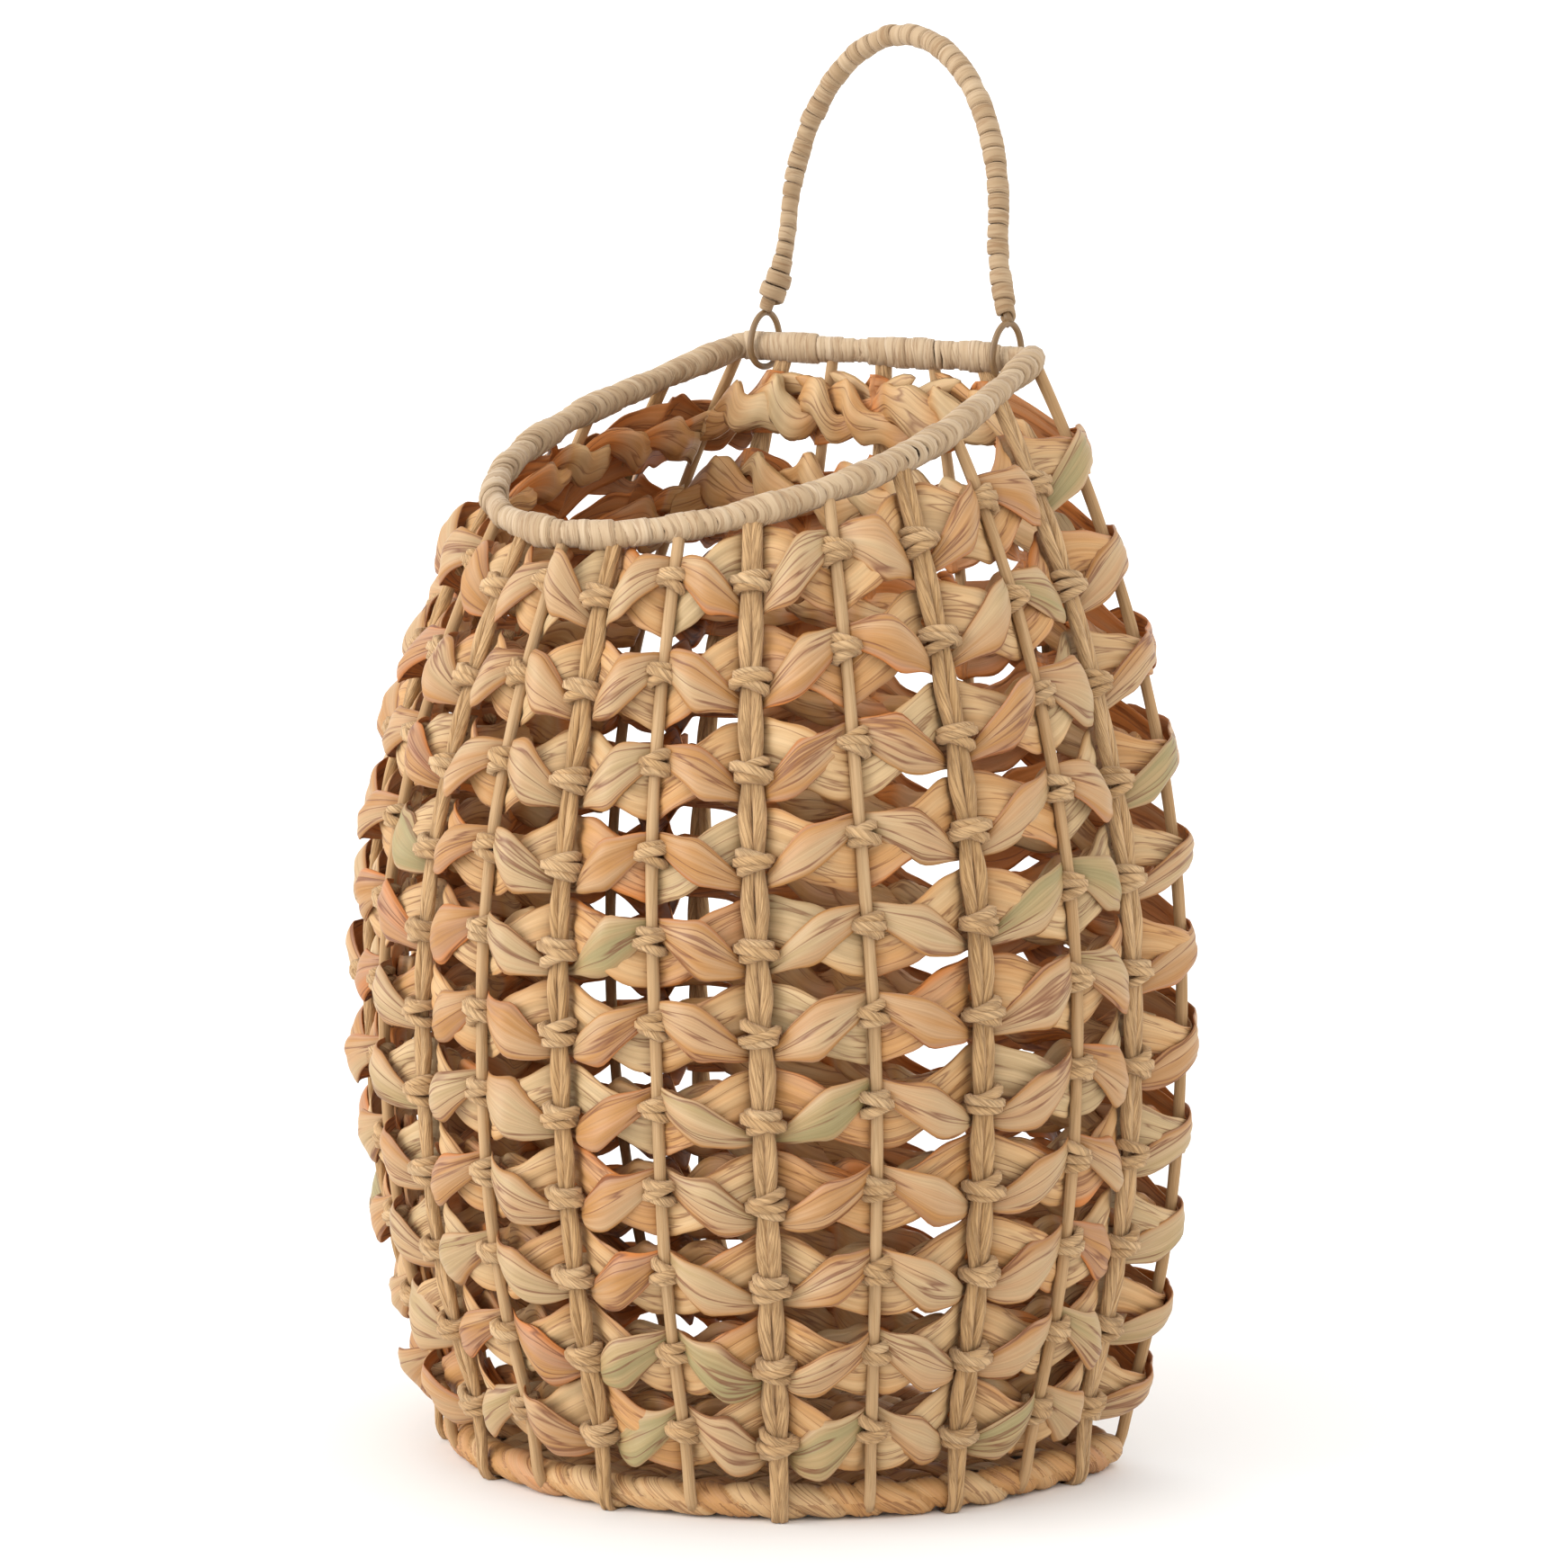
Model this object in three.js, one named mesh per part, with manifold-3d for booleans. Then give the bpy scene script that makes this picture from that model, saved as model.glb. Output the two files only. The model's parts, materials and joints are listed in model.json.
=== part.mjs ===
// A wall basket: a wire frame with a flat back and a round belly, woven with rows of folded leaf,
// and a wound carrying handle that swings on the straight back bar of its mouth.
// Millimetres, +Z up, the front of the basket towards -Y.
import * as THREE from "three";
import Module from "manifold-3d";

// Wall of the basket, on the centre lines of its stakes
const BACK_HEIGHT = 380;
const RIM_TILT = THREE.MathUtils.degToRad(19.6);
const BACK_PLANE = 51;
const FOOT_RADIUS = 112;
const BELLY_RADIUS = 146;
const BELLY_HEIGHT = 165;
const MOUTH_RADIUS = 73.5;
const FOOT_CURVE = 2.3;
const SHOULDER_CURVE = 2;
const FRONT_ROUNDNESS = 0.97;
const CORNER_SHARE = 0.958;

// Stakes, counted from the front centre: the round front, the two sides, then the flat back
const ARC_STEPS = 6;
const SIDE_STEPS = 2;
const BACK_STEPS = 6;
const ARC_STEP = THREE.MathUtils.degToRad(14.5);
const ARC_SWAY = THREE.MathUtils.degToRad(6);
const SWAY_SPAN = 6.5;
const ROD_RADIUS = 2.25;
const CORD_RADIUS = 2.75;
const CORD_WAIST = 0.9;

// Rings of the frame: a steel wire in a wrapping
const RIM_WIRE = 2.2;
const RIM_RADIUS = 4.3;
const BASE_WIRE = 2.5;
const BASE_RADIUS = 7.2;
const WRAP_SEAM = 0.6;

// Rows of leaf: two strands that cross between each pair of stakes, behind every stake
const ROWS = 11;
const FIRST_ROW_RISE = 17;
const LAST_ROW_DROP = 26;
const ROW_SPREAD = 1.03;
const ROW_TILT_SHARE = 0.82;
const ROW_TILT_CURVE = 1.65;
const BACK_ROW_LIFT = 10;
const LEAF_THICKNESS = 1.4;
const LEAF_BULGE = 5.5;
const LEAF_SLOPE = 0.35;
const CORD_STANDOFF = 1.2;
const STRAND_STEP = 0.6;

// Heights of a strand as shares of the distance between rows
const OUTER_ROD_SHARE = 0.23;
const OUTER_CORD_SHARE = -0.32;
const OUTER_TIP_SHARE = 0.11;
const OUTER_MIDDLE_SHARE = 0.29;
const INNER_ROD_SHARE = -0.25;
const INNER_CORD_SHARE = 0.24;
const INNER_TIP_SHARE = 0.22;

// Floor: a leaf mat on three wires
const FLOOR_THICKNESS = 3;
const FLOOR_WIRE = 1.6;
const FLOOR_WIRE_RISE = 4.6;
const FLOOR_WIRE_PLACES = [-70, -20, 30];

// Handle: a wire arch with an eye at each end, wound with flat twine
const HANDLE_WIRE = 1.55;
const EYE_WIRE = 1.15;
const EYE_CLEARANCE = 0.75;
const EYE_RISE = 14;
const EYE_CORD_GAP = 0.5;
const HANDLE_HALF_WIDTH = 50.5;
const HANDLE_HEIGHT = 110.6;
const HANDLE_SHOULDER = 43;
const HANDLE_LEAN = THREE.MathUtils.degToRad(5);
const HANDLE_SWING = THREE.MathUtils.degToRad(115);
const TWINE_WIDTH = 4.2;
const TWINE_THICKNESS = 1.8;
const TWINE_PITCH = 5.2;
const TWINE_START = 5;
const TURN_STEPS = 8;

// Clearances between pieces that touch
const SEAT_GAP = 0.3;
const LEAF_GAP = 0.6;
const TWINE_GAP = 0.45;

const SIDE_END = ARC_STEPS + SIDE_STEPS;
const STAKES = 2 * SIDE_END + BACK_STEPS;
const UP = new THREE.Vector3(0, 0, 1);

// Height of the mouth's tilted plane over a place in depth
function rimHeight(y) {
  return BACK_HEIGHT + Math.tan(RIM_TILT) * (y - BACK_PLANE);
}

// Half width of the wall: it swells from the foot to the belly and draws in to the mouth
function wallRadius(z) {
  if (z < BELLY_HEIGHT) {
    const below = (BELLY_HEIGHT - z) / BELLY_HEIGHT;
    return BELLY_RADIUS - (BELLY_RADIUS - FOOT_RADIUS) * below ** FOOT_CURVE;
  }
  const above = (z - BELLY_HEIGHT) / (BACK_HEIGHT - BELLY_HEIGHT);
  return BELLY_RADIUS - (BELLY_RADIUS - MOUTH_RADIUS) * above ** SHOULDER_CURVE;
}

// A point of the wall at a place counted in stakes from the front centre, and a height
function wallPoint(place, z) {
  const along = ((place % STAKES) + STAKES) % STAKES;
  if (along > STAKES / 2) {
    const twin = wallPoint(STAKES - along, z);
    return twin.setX(-twin.x);
  }
  const radius = wallRadius(z);
  const corner = CORNER_SHARE * radius;
  if (along > SIDE_END) {
    const left = 1 - (2 * (along - SIDE_END)) / BACK_STEPS;
    return new THREE.Vector3(corner * left, BACK_PLANE, z);
  }
  const onArc = Math.min(along, ARC_STEPS);
  const sway = (ARC_SWAY * z) / BACK_HEIGHT;
  const angle = ARC_STEP * onArc - sway * Math.sin((Math.PI * onArc) / SWAY_SPAN);
  const x = radius * Math.sin(angle);
  const y = -FRONT_ROUNDNESS * radius * Math.cos(angle);
  const side = (along - onArc) / SIDE_STEPS;
  return new THREE.Vector3(x + (corner - x) * side ** 2, y + (BACK_PLANE - y) * side, z);
}

// The wall's directions at a point: along the stake, across it, and outwards
function wallFrame(place, z) {
  const stakeWay = wallPoint(place, z + 1).sub(wallPoint(place, z - 1)).normalize();
  const rowWay = wallPoint(place + 0.2, z).sub(wallPoint(place - 0.2, z)).normalize();
  const out = new THREE.Vector3().crossVectors(rowWay, stakeWay).normalize();
  const across = new THREE.Vector3().crossVectors(stakeWay, out).normalize();
  return { stakeWay, across, out };
}

// Where a place on the wall meets the mouth
function rimPoint(place) {
  let z = BACK_HEIGHT;
  for (let pass = 0; pass < 30; pass++) {
    z = rimHeight(wallPoint(place, z).y);
  }
  return wallPoint(place, z);
}

function basePoint(place) {
  return wallPoint(place, BASE_RADIUS);
}

// How far a place lies behind the back corners: 0 at a corner, 1 from the next stake on
function backShare(place) {
  const fromFront = Math.abs(place - STAKES * Math.round(place / STAKES));
  return THREE.MathUtils.smoothstep(fromFront, SIDE_END, SIDE_END + 1);
}

// Height of a row's middle at a place: level at the foot, with more of the rim's tilt in each row,
// and lifted towards the bar on the back
function rowHeight(row, place) {
  const share = (row / (ROWS - 1)) ** ROW_SPREAD;
  const first = 2 * BASE_RADIUS + FIRST_ROW_RISE;
  const last = rimHeight(0) - LAST_ROW_DROP;
  const level = first + (last - first) * share;
  const tilt = Math.tan(RIM_TILT) * ROW_TILT_SHARE * (level / rimHeight(0)) ** ROW_TILT_CURVE;
  const lift = BACK_ROW_LIFT * share ** 2 * backShare(place);
  let z = level;
  for (let pass = 0; pass < 12; pass++) {
    z = level + lift + tilt * wallPoint(place, z).y;
  }
  return z;
}

function rowPitch(row, place) {
  const low = Math.max(row - 1, 0);
  const high = Math.min(row + 1, ROWS - 1);
  return (rowHeight(high, place) - rowHeight(low, place)) / (high - low);
}

// Turns a closed surface so that its faces point out
function facingOut(positions, index) {
  let volume = 0;
  const corner = [new THREE.Vector3(), new THREE.Vector3(), new THREE.Vector3()];
  for (let i = 0; i < index.length; i += 3) {
    corner.forEach((point, k) => point.fromArray(positions, 3 * index[i + k]));
    volume += corner[0].dot(corner[1].cross(corner[2]));
  }
  const faces = volume < 0 ? index.slice().reverse() : index;
  const geometry = new THREE.BufferGeometry();
  geometry.setAttribute("position", new THREE.Float32BufferAttribute(positions, 3));
  geometry.setIndex(faces);
  return geometry;
}

// A skin over a row of equal outlines: a closed hoop, or a bar with an end face at each end
function loft(outlines, hoop) {
  const count = outlines[0].length;
  const positions = outlines.flat().flatMap((point) => point.toArray());
  const index = [];
  const spans = hoop ? outlines.length : outlines.length - 1;
  for (let i = 0; i < spans; i++) {
    const here = i * count;
    const next = ((i + 1) % outlines.length) * count;
    for (let k = 0; k < count; k++) {
      const turn = (k + 1) % count;
      index.push(here + k, here + turn, next + turn, here + k, next + turn, next + k);
    }
  }
  if (!hoop) {
    [0, outlines.length - 1].forEach((end) => {
      const middle = new THREE.Vector3();
      outlines[end].forEach((point) => middle.addScaledVector(point, 1 / count));
      const centre = positions.length / 3;
      positions.push(...middle.toArray());
      for (let k = 0; k < count; k++) {
        const pair = [end * count + k, end * count + ((k + 1) % count)];
        index.push(centre, ...(end === 0 ? pair.reverse() : pair));
      }
    });
  }
  return facingOut(positions, index);
}

// An outline given in two directions, set at a point
function placed(outline, centre, right, up) {
  return outline.map(([a, b]) => centre.clone().addScaledVector(right, a).addScaledVector(up, b));
}

function polygon(sides, radius, turn = 0) {
  return Array.from({ length: sides }, (_, k) => {
    const angle = turn + (2 * Math.PI * k) / sides;
    return [radius * Math.cos(angle), radius * Math.sin(angle)];
  });
}

// Half of the distance from one stake to the next
function halfCell(place, z) {
  return wallPoint(Math.floor(place), z).distanceTo(wallPoint(Math.floor(place) + 1, z)) / 2;
}

const isCord = (stake) => stake % 2 === 1;

// A stake's outline: one round rod, or two cords that lie side by side
function stakeOutline(stake) {
  if (!isCord(stake)) {
    return polygon(6, ROD_RADIUS, Math.PI / 6);
  }
  const lobe = [60, 20, -20, -60].map((degrees) => {
    const angle = THREE.MathUtils.degToRad(degrees);
    return [CORD_RADIUS * (1 + Math.cos(angle)), CORD_RADIUS * Math.sin(angle)];
  });
  const far = lobe.map(([a, b]) => [-a, -b]);
  return [[0, CORD_WAIST], ...lobe, [0, -CORD_WAIST], ...far];
}

// How far from a ring's centre line a stake's end face clears the ring's wrapping
function endDistance(stake, ringRadius, ringWay, stakeWay) {
  const halfWidth = isCord(stake) ? 2 * CORD_RADIUS : ROD_RADIUS;
  const slant = Math.abs(ringWay.dot(stakeWay));
  const square = Math.sqrt(1 - slant ** 2);
  return (ringRadius + SEAT_GAP + halfWidth * slant) / square;
}

const OCTAGON_REACH = 1 / Math.cos(Math.PI / 8);
const STAKE_SPANS = 10;

function stakeGeometry(stake) {
  const ringWay = (at) => at(stake + 0.1).sub(at(stake - 0.1)).normalize();
  const foot = wallFrame(stake, BASE_RADIUS);
  const top = rimPoint(stake);
  const head = wallFrame(stake, top.z);
  const baseReach = BASE_RADIUS * OCTAGON_REACH;
  const low = endDistance(stake, baseReach, ringWay(basePoint), foot.stakeWay) * foot.stakeWay.z;
  const high = endDistance(stake, RIM_RADIUS, ringWay(rimPoint), head.stakeWay) * head.stakeWay.z;
  const from = BASE_RADIUS + low;
  const to = top.z - high;
  const outline = stakeOutline(stake);
  const rings = Array.from({ length: STAKE_SPANS + 1 }, (_, i) => {
    const z = from + ((to - from) * i) / STAKE_SPANS;
    const { across, out } = wallFrame(stake, z);
    return placed(outline, wallPoint(stake, z), across, out);
  });
  return loft(rings, false);
}

// How far a strand's middle lies behind the centre line of a stake
function strandDepth(stake) {
  const stakeDepth = isCord(stake) ? CORD_RADIUS + CORD_STANDOFF : ROD_RADIUS;
  return stakeDepth + LEAF_GAP + LEAF_THICKNESS / 2;
}

// The four corners of a strand at a place: its lower and upper edges, outside and inside
function strandRing(place, z, halfHeight, depth) {
  const corners = [];
  [-1, 1].forEach((edge) => {
    const level = z + edge * halfHeight;
    const { out } = wallFrame(place, level);
    [-edge, edge].forEach((face) => {
      const inward = depth - (face * LEAF_THICKNESS) / 2;
      corners.push(wallPoint(place, level).addScaledVector(out, -inward));
    });
  });
  return corners;
}

// The outer strand: high behind the rods and low behind the cords, widest where it bulges between
function outerStrand(row) {
  const rings = [];
  for (let stake = 0; stake < STAKES; stake++) {
    const pitch = rowPitch(row, stake);
    const swing = isCord(stake) ? OUTER_CORD_SHARE : OUTER_ROD_SHARE;
    const level = rowHeight(row, stake) + swing * pitch;
    rings.push(strandRing(stake, level, OUTER_TIP_SHARE * pitch, strandDepth(stake)));
    const between = stake + 0.5;
    const pitchBetween = rowPitch(row, between);
    const middle = rowHeight(row, between) + ((OUTER_ROD_SHARE + OUTER_CORD_SHARE) / 2) * pitchBetween;
    const bulge = Math.min(LEAF_BULGE, LEAF_SLOPE * halfCell(between, middle));
    const depth = (strandDepth(stake) + strandDepth(stake + 1)) / 2 - bulge;
    rings.push(strandRing(between, middle, OUTER_MIDDLE_SHARE * pitchBetween, depth));
  }
  return loft(rings, true);
}

// The inner strand: low behind the rods and high behind the cords, straight from stake to stake
function innerStrand(row) {
  const rings = [];
  for (let stake = 0; stake < STAKES; stake++) {
    const pitch = rowPitch(row, stake);
    const swing = isCord(stake) ? INNER_CORD_SHARE : INNER_ROD_SHARE;
    const level = rowHeight(row, stake) + swing * pitch;
    rings.push(strandRing(stake, level, INNER_TIP_SHARE * pitch, strandDepth(stake) + STRAND_STEP));
  }
  return loft(rings, true);
}

// Places where a ring of the frame bends: twice per stake in the round, and at the back corners
const ringPlaces = [];
for (let place = 0; place <= SIDE_END; place += 0.5) {
  ringPlaces.push(place);
}
ringPlaces.push(STAKES / 2);
for (let place = STAKES - SIDE_END; place < STAKES; place += 0.5) {
  ringPlaces.push(place);
}

// Corner points of a flat ring with its outward direction, drawn out at each bend as a mitre is
function ringFrames(at, up) {
  const points = ringPlaces.map(at);
  return points.map((point, i) => {
    const before = point.clone().sub(points.at(i - 1)).normalize();
    const after = points[(i + 1) % points.length].clone().sub(point).normalize();
    const way = before.clone().add(after).normalize();
    const out = new THREE.Vector3().crossVectors(way, up).divideScalar(way.dot(before));
    return { point, out };
  });
}

function ringGeometry(at, up, outline) {
  return loft(
    ringFrames(at, up).map(({ point, out }) => placed(outline, point, out, up)),
    true,
  );
}

// A wrapping with eight flats round a six-sided wire, open at a seam along the ring
function wrapOutline(outerReach, wireRadius, seamAngle) {
  const outerSeam = WRAP_SEAM / 2 / outerReach;
  const innerReach = (wireRadius + SEAT_GAP) / Math.cos(Math.PI / 6);
  const innerSeam = WRAP_SEAM / 2 / innerReach;
  const at = (angle, reach) => [
    reach * Math.cos(seamAngle + angle),
    reach * Math.sin(seamAngle + angle),
  ];
  const flat = outerReach * Math.cos(Math.PI / 8);
  const lip = flat / Math.cos(Math.PI / 8 - outerSeam);
  const outer = [at(outerSeam, lip)];
  for (let k = 1; k < 8; k++) {
    outer.push(at((Math.PI / 4) * k, outerReach));
  }
  outer.push(at(-outerSeam, lip));
  const inner = [at(-innerSeam, innerReach)];
  for (let k = 5; k > 0; k--) {
    inner.push(at((Math.PI / 3) * k, innerReach));
  }
  inner.push(at(innerSeam, innerReach));
  return [...outer, ...inner];
}

const RIM_UP = new THREE.Vector3(0, -Math.sin(RIM_TILT), Math.cos(RIM_TILT));
const RIM_SEAM = (9 * Math.PI) / 8;
const BASE_SEAM = (5 * Math.PI) / 8;

function rimWrapGeometry() {
  return ringGeometry(rimPoint, RIM_UP, wrapOutline(RIM_RADIUS, RIM_WIRE, RIM_SEAM));
}

function rimWireGeometry() {
  return ringGeometry(rimPoint, RIM_UP, polygon(6, RIM_WIRE, RIM_SEAM));
}

// The base wrapping has a flat underside to stand on and a flat rear face against the wall
function baseWrapGeometry() {
  const outline = wrapOutline(BASE_RADIUS * OCTAGON_REACH, BASE_WIRE, BASE_SEAM);
  return ringGeometry(basePoint, UP, outline);
}

function baseWireGeometry() {
  return ringGeometry(basePoint, UP, polygon(6, BASE_WIRE, BASE_SEAM));
}

// The floor's outline, just inside the base wrapping
const floorOutline = ringFrames(basePoint, UP).map(({ point, out }) =>
  point.clone().addScaledVector(out, -BASE_RADIUS - SEAT_GAP),
);
const FLOOR_BOTTOM = FLOOR_WIRE_RISE + FLOOR_WIRE + SEAT_GAP;

function floorMatGeometry() {
  const shape = new THREE.Shape(floorOutline.map(({ x, y }) => new THREE.Vector2(x, y)));
  const mat = new THREE.ExtrudeGeometry(shape, { depth: FLOOR_THICKNESS, bevelEnabled: false });
  return mat.translate(0, 0, FLOOR_BOTTOM);
}

// Half width of the floor's outline at a place in depth
function floorHalfWidth(y) {
  for (let i = 0; i < floorOutline.length / 2; i++) {
    const here = floorOutline[i];
    const next = floorOutline[i + 1];
    if (here.y <= y && next.y >= y && next.y > here.y) {
      return here.x + ((next.x - here.x) * (y - here.y)) / (next.y - here.y);
    }
  }
  return 0;
}

function floorWireGeometry(y) {
  const half = Math.min(floorHalfWidth(y - FLOOR_WIRE), floorHalfWidth(y + FLOOR_WIRE));
  const wire = new THREE.CylinderGeometry(FLOOR_WIRE, FLOOR_WIRE, 2 * half, 8);
  return wire.rotateZ(Math.PI / 2).translate(0, y, FLOOR_WIRE_RISE);
}

// Directions of the handle as it stands, leaning back over the bar it swings on
const BAR = new THREE.Vector3(0, BACK_PLANE, BACK_HEIGHT);
const ACROSS = new THREE.Vector3(1, 0, 0);
const HANDLE_UP = new THREE.Vector3(0, Math.sin(HANDLE_LEAN), Math.cos(HANDLE_LEAN));
const HANDLE_BACK = new THREE.Vector3(0, Math.cos(HANDLE_LEAN), -Math.sin(HANDLE_LEAN));

function handlePoint(x, height) {
  return BAR.clone().addScaledVector(ACROSS, x).addScaledVector(HANDLE_UP, height);
}

// The eyes sit just outside the outermost cords of the back, clear of them as far down as they swing
const eyeReach = RIM_RADIUS + EYE_CLEARANCE + EYE_WIRE;
const eyeDrop = Math.hypot(eyeReach * Math.sin(HANDLE_SWING), EYE_RISE * Math.cos(HANDLE_SWING));
const cordEdge = wallPoint(SIDE_END + 1, BACK_HEIGHT - eyeDrop - EYE_WIRE).x + 2 * CORD_RADIUS;
const eyePlace = cordEdge + EYE_CORD_GAP + EYE_WIRE;

// The arch: two legs that draw in from the eyes, under a half ellipse
const ARCH_POINTS = 12;
const archPoints = [handlePoint(-eyePlace, EYE_RISE)];
for (let k = 0; k <= ARCH_POINTS; k++) {
  const angle = Math.PI - (Math.PI * k) / ARCH_POINTS;
  const rise = (HANDLE_HEIGHT - HANDLE_SHOULDER) * Math.sin(angle);
  archPoints.push(handlePoint(HANDLE_HALF_WIDTH * Math.cos(angle), HANDLE_SHOULDER + rise));
}
archPoints.push(handlePoint(eyePlace, EYE_RISE));
const arch = new THREE.CatmullRomCurve3(archPoints);
const archLength = arch.getLength();
const ARCH_SPANS = 26;

function archWire() {
  const outline = polygon(8, HANDLE_WIRE);
  const rings = Array.from({ length: ARCH_SPANS + 1 }, (_, i) => {
    const share = i / ARCH_SPANS;
    const side = new THREE.Vector3().crossVectors(arch.getTangentAt(share), HANDLE_BACK);
    return placed(outline, arch.getPointAt(share), side.normalize(), HANDLE_BACK);
  });
  return loft(rings, false);
}

// An eye: round under the bar, drawn up to the foot of the arch
const EYE_STEPS = 20;

function eyeWire(x) {
  const outline = polygon(6, EYE_WIRE);
  const centres = Array.from({ length: EYE_STEPS }, (_, i) => {
    const angle = (2 * Math.PI * i) / EYE_STEPS;
    const height = Math.sin(angle) * (Math.sin(angle) > 0 ? EYE_RISE : eyeReach);
    return handlePoint(x, height).addScaledVector(HANDLE_BACK, eyeReach * Math.cos(angle));
  });
  const rings = centres.map((centre, i) => {
    const way = centres[(i + 1) % EYE_STEPS].clone().sub(centres.at(i - 1)).normalize();
    const side = new THREE.Vector3().crossVectors(way, ACROSS).normalize();
    return placed(outline, centre, side, ACROSS);
  });
  return loft(rings, true);
}

const wasm = await Module();
wasm.setup();

function solidOf(geometry) {
  const vertProperties = new Float32Array(geometry.getAttribute("position").array);
  const triVerts = new Uint32Array(geometry.index.array);
  return new wasm.Manifold(new wasm.Mesh({ numProp: 3, vertProperties, triVerts }));
}

function geometryOf(solid) {
  const mesh = solid.getMesh();
  const geometry = new THREE.BufferGeometry();
  geometry.setAttribute("position", new THREE.BufferAttribute(mesh.vertProperties, 3));
  geometry.setIndex(new THREE.BufferAttribute(mesh.triVerts, 1));
  return geometry;
}

function handleWireGeometry() {
  const eyes = [-eyePlace, eyePlace].map((x) => solidOf(eyeWire(x)));
  return geometryOf(solidOf(archWire()).add(eyes[0]).add(eyes[1]));
}

// The winding: one flat twine in a helix along the arch, from just above one eye to the other
const twineRadius = HANDLE_WIRE + TWINE_GAP + TWINE_THICKNESS / 2;
const twineLength = archLength - 2 * TWINE_START;
const twineTurns = Math.floor(twineLength / TWINE_PITCH);
const twineOutline = [
  [-TWINE_THICKNESS / 2, -TWINE_WIDTH / 2],
  [-TWINE_THICKNESS / 2, TWINE_WIDTH / 2],
  [TWINE_THICKNESS / 4, TWINE_WIDTH / 2],
  [TWINE_THICKNESS / 2, 0],
  [TWINE_THICKNESS / 4, -TWINE_WIDTH / 2],
];

function twineRings() {
  const steps = twineTurns * TURN_STEPS;
  return Array.from({ length: steps + 1 }, (_, i) => {
    const share = (TWINE_START + (twineLength * i) / steps) / archLength;
    const way = arch.getTangentAt(share);
    const side = new THREE.Vector3().crossVectors(way, HANDLE_BACK).normalize();
    const angle = (2 * Math.PI * i) / TURN_STEPS;
    const out = side.multiplyScalar(Math.cos(angle)).addScaledVector(HANDLE_BACK, Math.sin(angle));
    const centre = arch.getPointAt(share).addScaledVector(out, twineRadius);
    return placed(twineOutline, centre, out, way);
  });
}

// Least distance between the points of one turn and of the next
function leastGap(rings) {
  let least = Infinity;
  for (let i = 0; i + TURN_STEPS < rings.length; i++) {
    for (let j = i + TURN_STEPS - 2; j < Math.min(i + TURN_STEPS + 3, rings.length); j++) {
      for (const near of rings[i]) {
        for (const far of rings[j]) {
          least = Math.min(least, near.distanceTo(far));
        }
      }
    }
  }
  return least;
}

const windingRings = twineRings();
const windingGap = leastGap(windingRings);
console.log(`winding of ${twineTurns} turns, least gap ${windingGap.toFixed(2)} mm`);

const look = (color, roughness, metalness = 0) => ({ color, roughness, metalness });
const ROD_LOOK = look("#cdb08a", 0.6);
const CORD_LOOK = look("#cdb184", 0.9);
const TWINE_LOOK = look("#d0b58c", 0.85);
const OUTER_LOOK = look("#d4a676", 0.6);
const INNER_LOOK = look("#a9733f", 0.7);
const BASE_LOOK = look("#d6a870", 0.65);
const WIRE_LOOK = look("#6d6254", 0.45, 0.9);

function piece(name, geometry, finish) {
  const mesh = new THREE.Mesh(geometry, new THREE.MeshStandardMaterial(finish));
  mesh.name = name;
  return mesh;
}

const number = (value) => String(value).padStart(2, "0");

const basket = new THREE.Group();
basket.add(
  piece("rim_wire", rimWireGeometry(), WIRE_LOOK),
  piece("rim_wrap", rimWrapGeometry(), TWINE_LOOK),
  piece("base_wire", baseWireGeometry(), WIRE_LOOK),
  piece("base_wrap", baseWrapGeometry(), BASE_LOOK),
  piece("floor_mat", floorMatGeometry(), INNER_LOOK),
);
FLOOR_WIRE_PLACES.forEach((y, i) => {
  basket.add(piece(`floor_wire_${number(i + 1)}`, floorWireGeometry(y), WIRE_LOOK));
});
for (let stake = 0; stake < STAKES; stake++) {
  const name = isCord(stake) ? "cord" : "rod";
  const finish = isCord(stake) ? CORD_LOOK : ROD_LOOK;
  const count = number(Math.floor(stake / 2) + 1);
  basket.add(piece(`stake_${name}_${count}`, stakeGeometry(stake), finish));
}
for (let row = 0; row < ROWS; row++) {
  basket.add(piece(`leaf_outer_${number(row + 1)}`, outerStrand(row), OUTER_LOOK));
  basket.add(piece(`leaf_inner_${number(row + 1)}`, innerStrand(row), INNER_LOOK));
}

const handle = new THREE.Group();
handle.add(
  piece("handle_wire", handleWireGeometry(), WIRE_LOOK),
  piece("handle_winding", loft(windingRings, false), TWINE_LOOK),
);

// The origin is under the middle of the whole part, on the surface it stands on
const placing = new THREE.Group();
placing.add(basket, handle);
const box = new THREE.Box3().setFromObject(placing);
const middle = box.getCenter(new THREE.Vector3());
placing.position.set(-middle.x, -middle.y, -box.min.z);
const shifted = BAR.clone().add(placing.position);
console.log("size", box.getSize(new THREE.Vector3()).toArray().map((v) => v.toFixed(2)).join(" x "));
console.log("hinge", shifted.toArray().map((v) => v.toFixed(3)).join(", "));

const part = new THREE.Group();
part.add(placing);

export default part;
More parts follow.
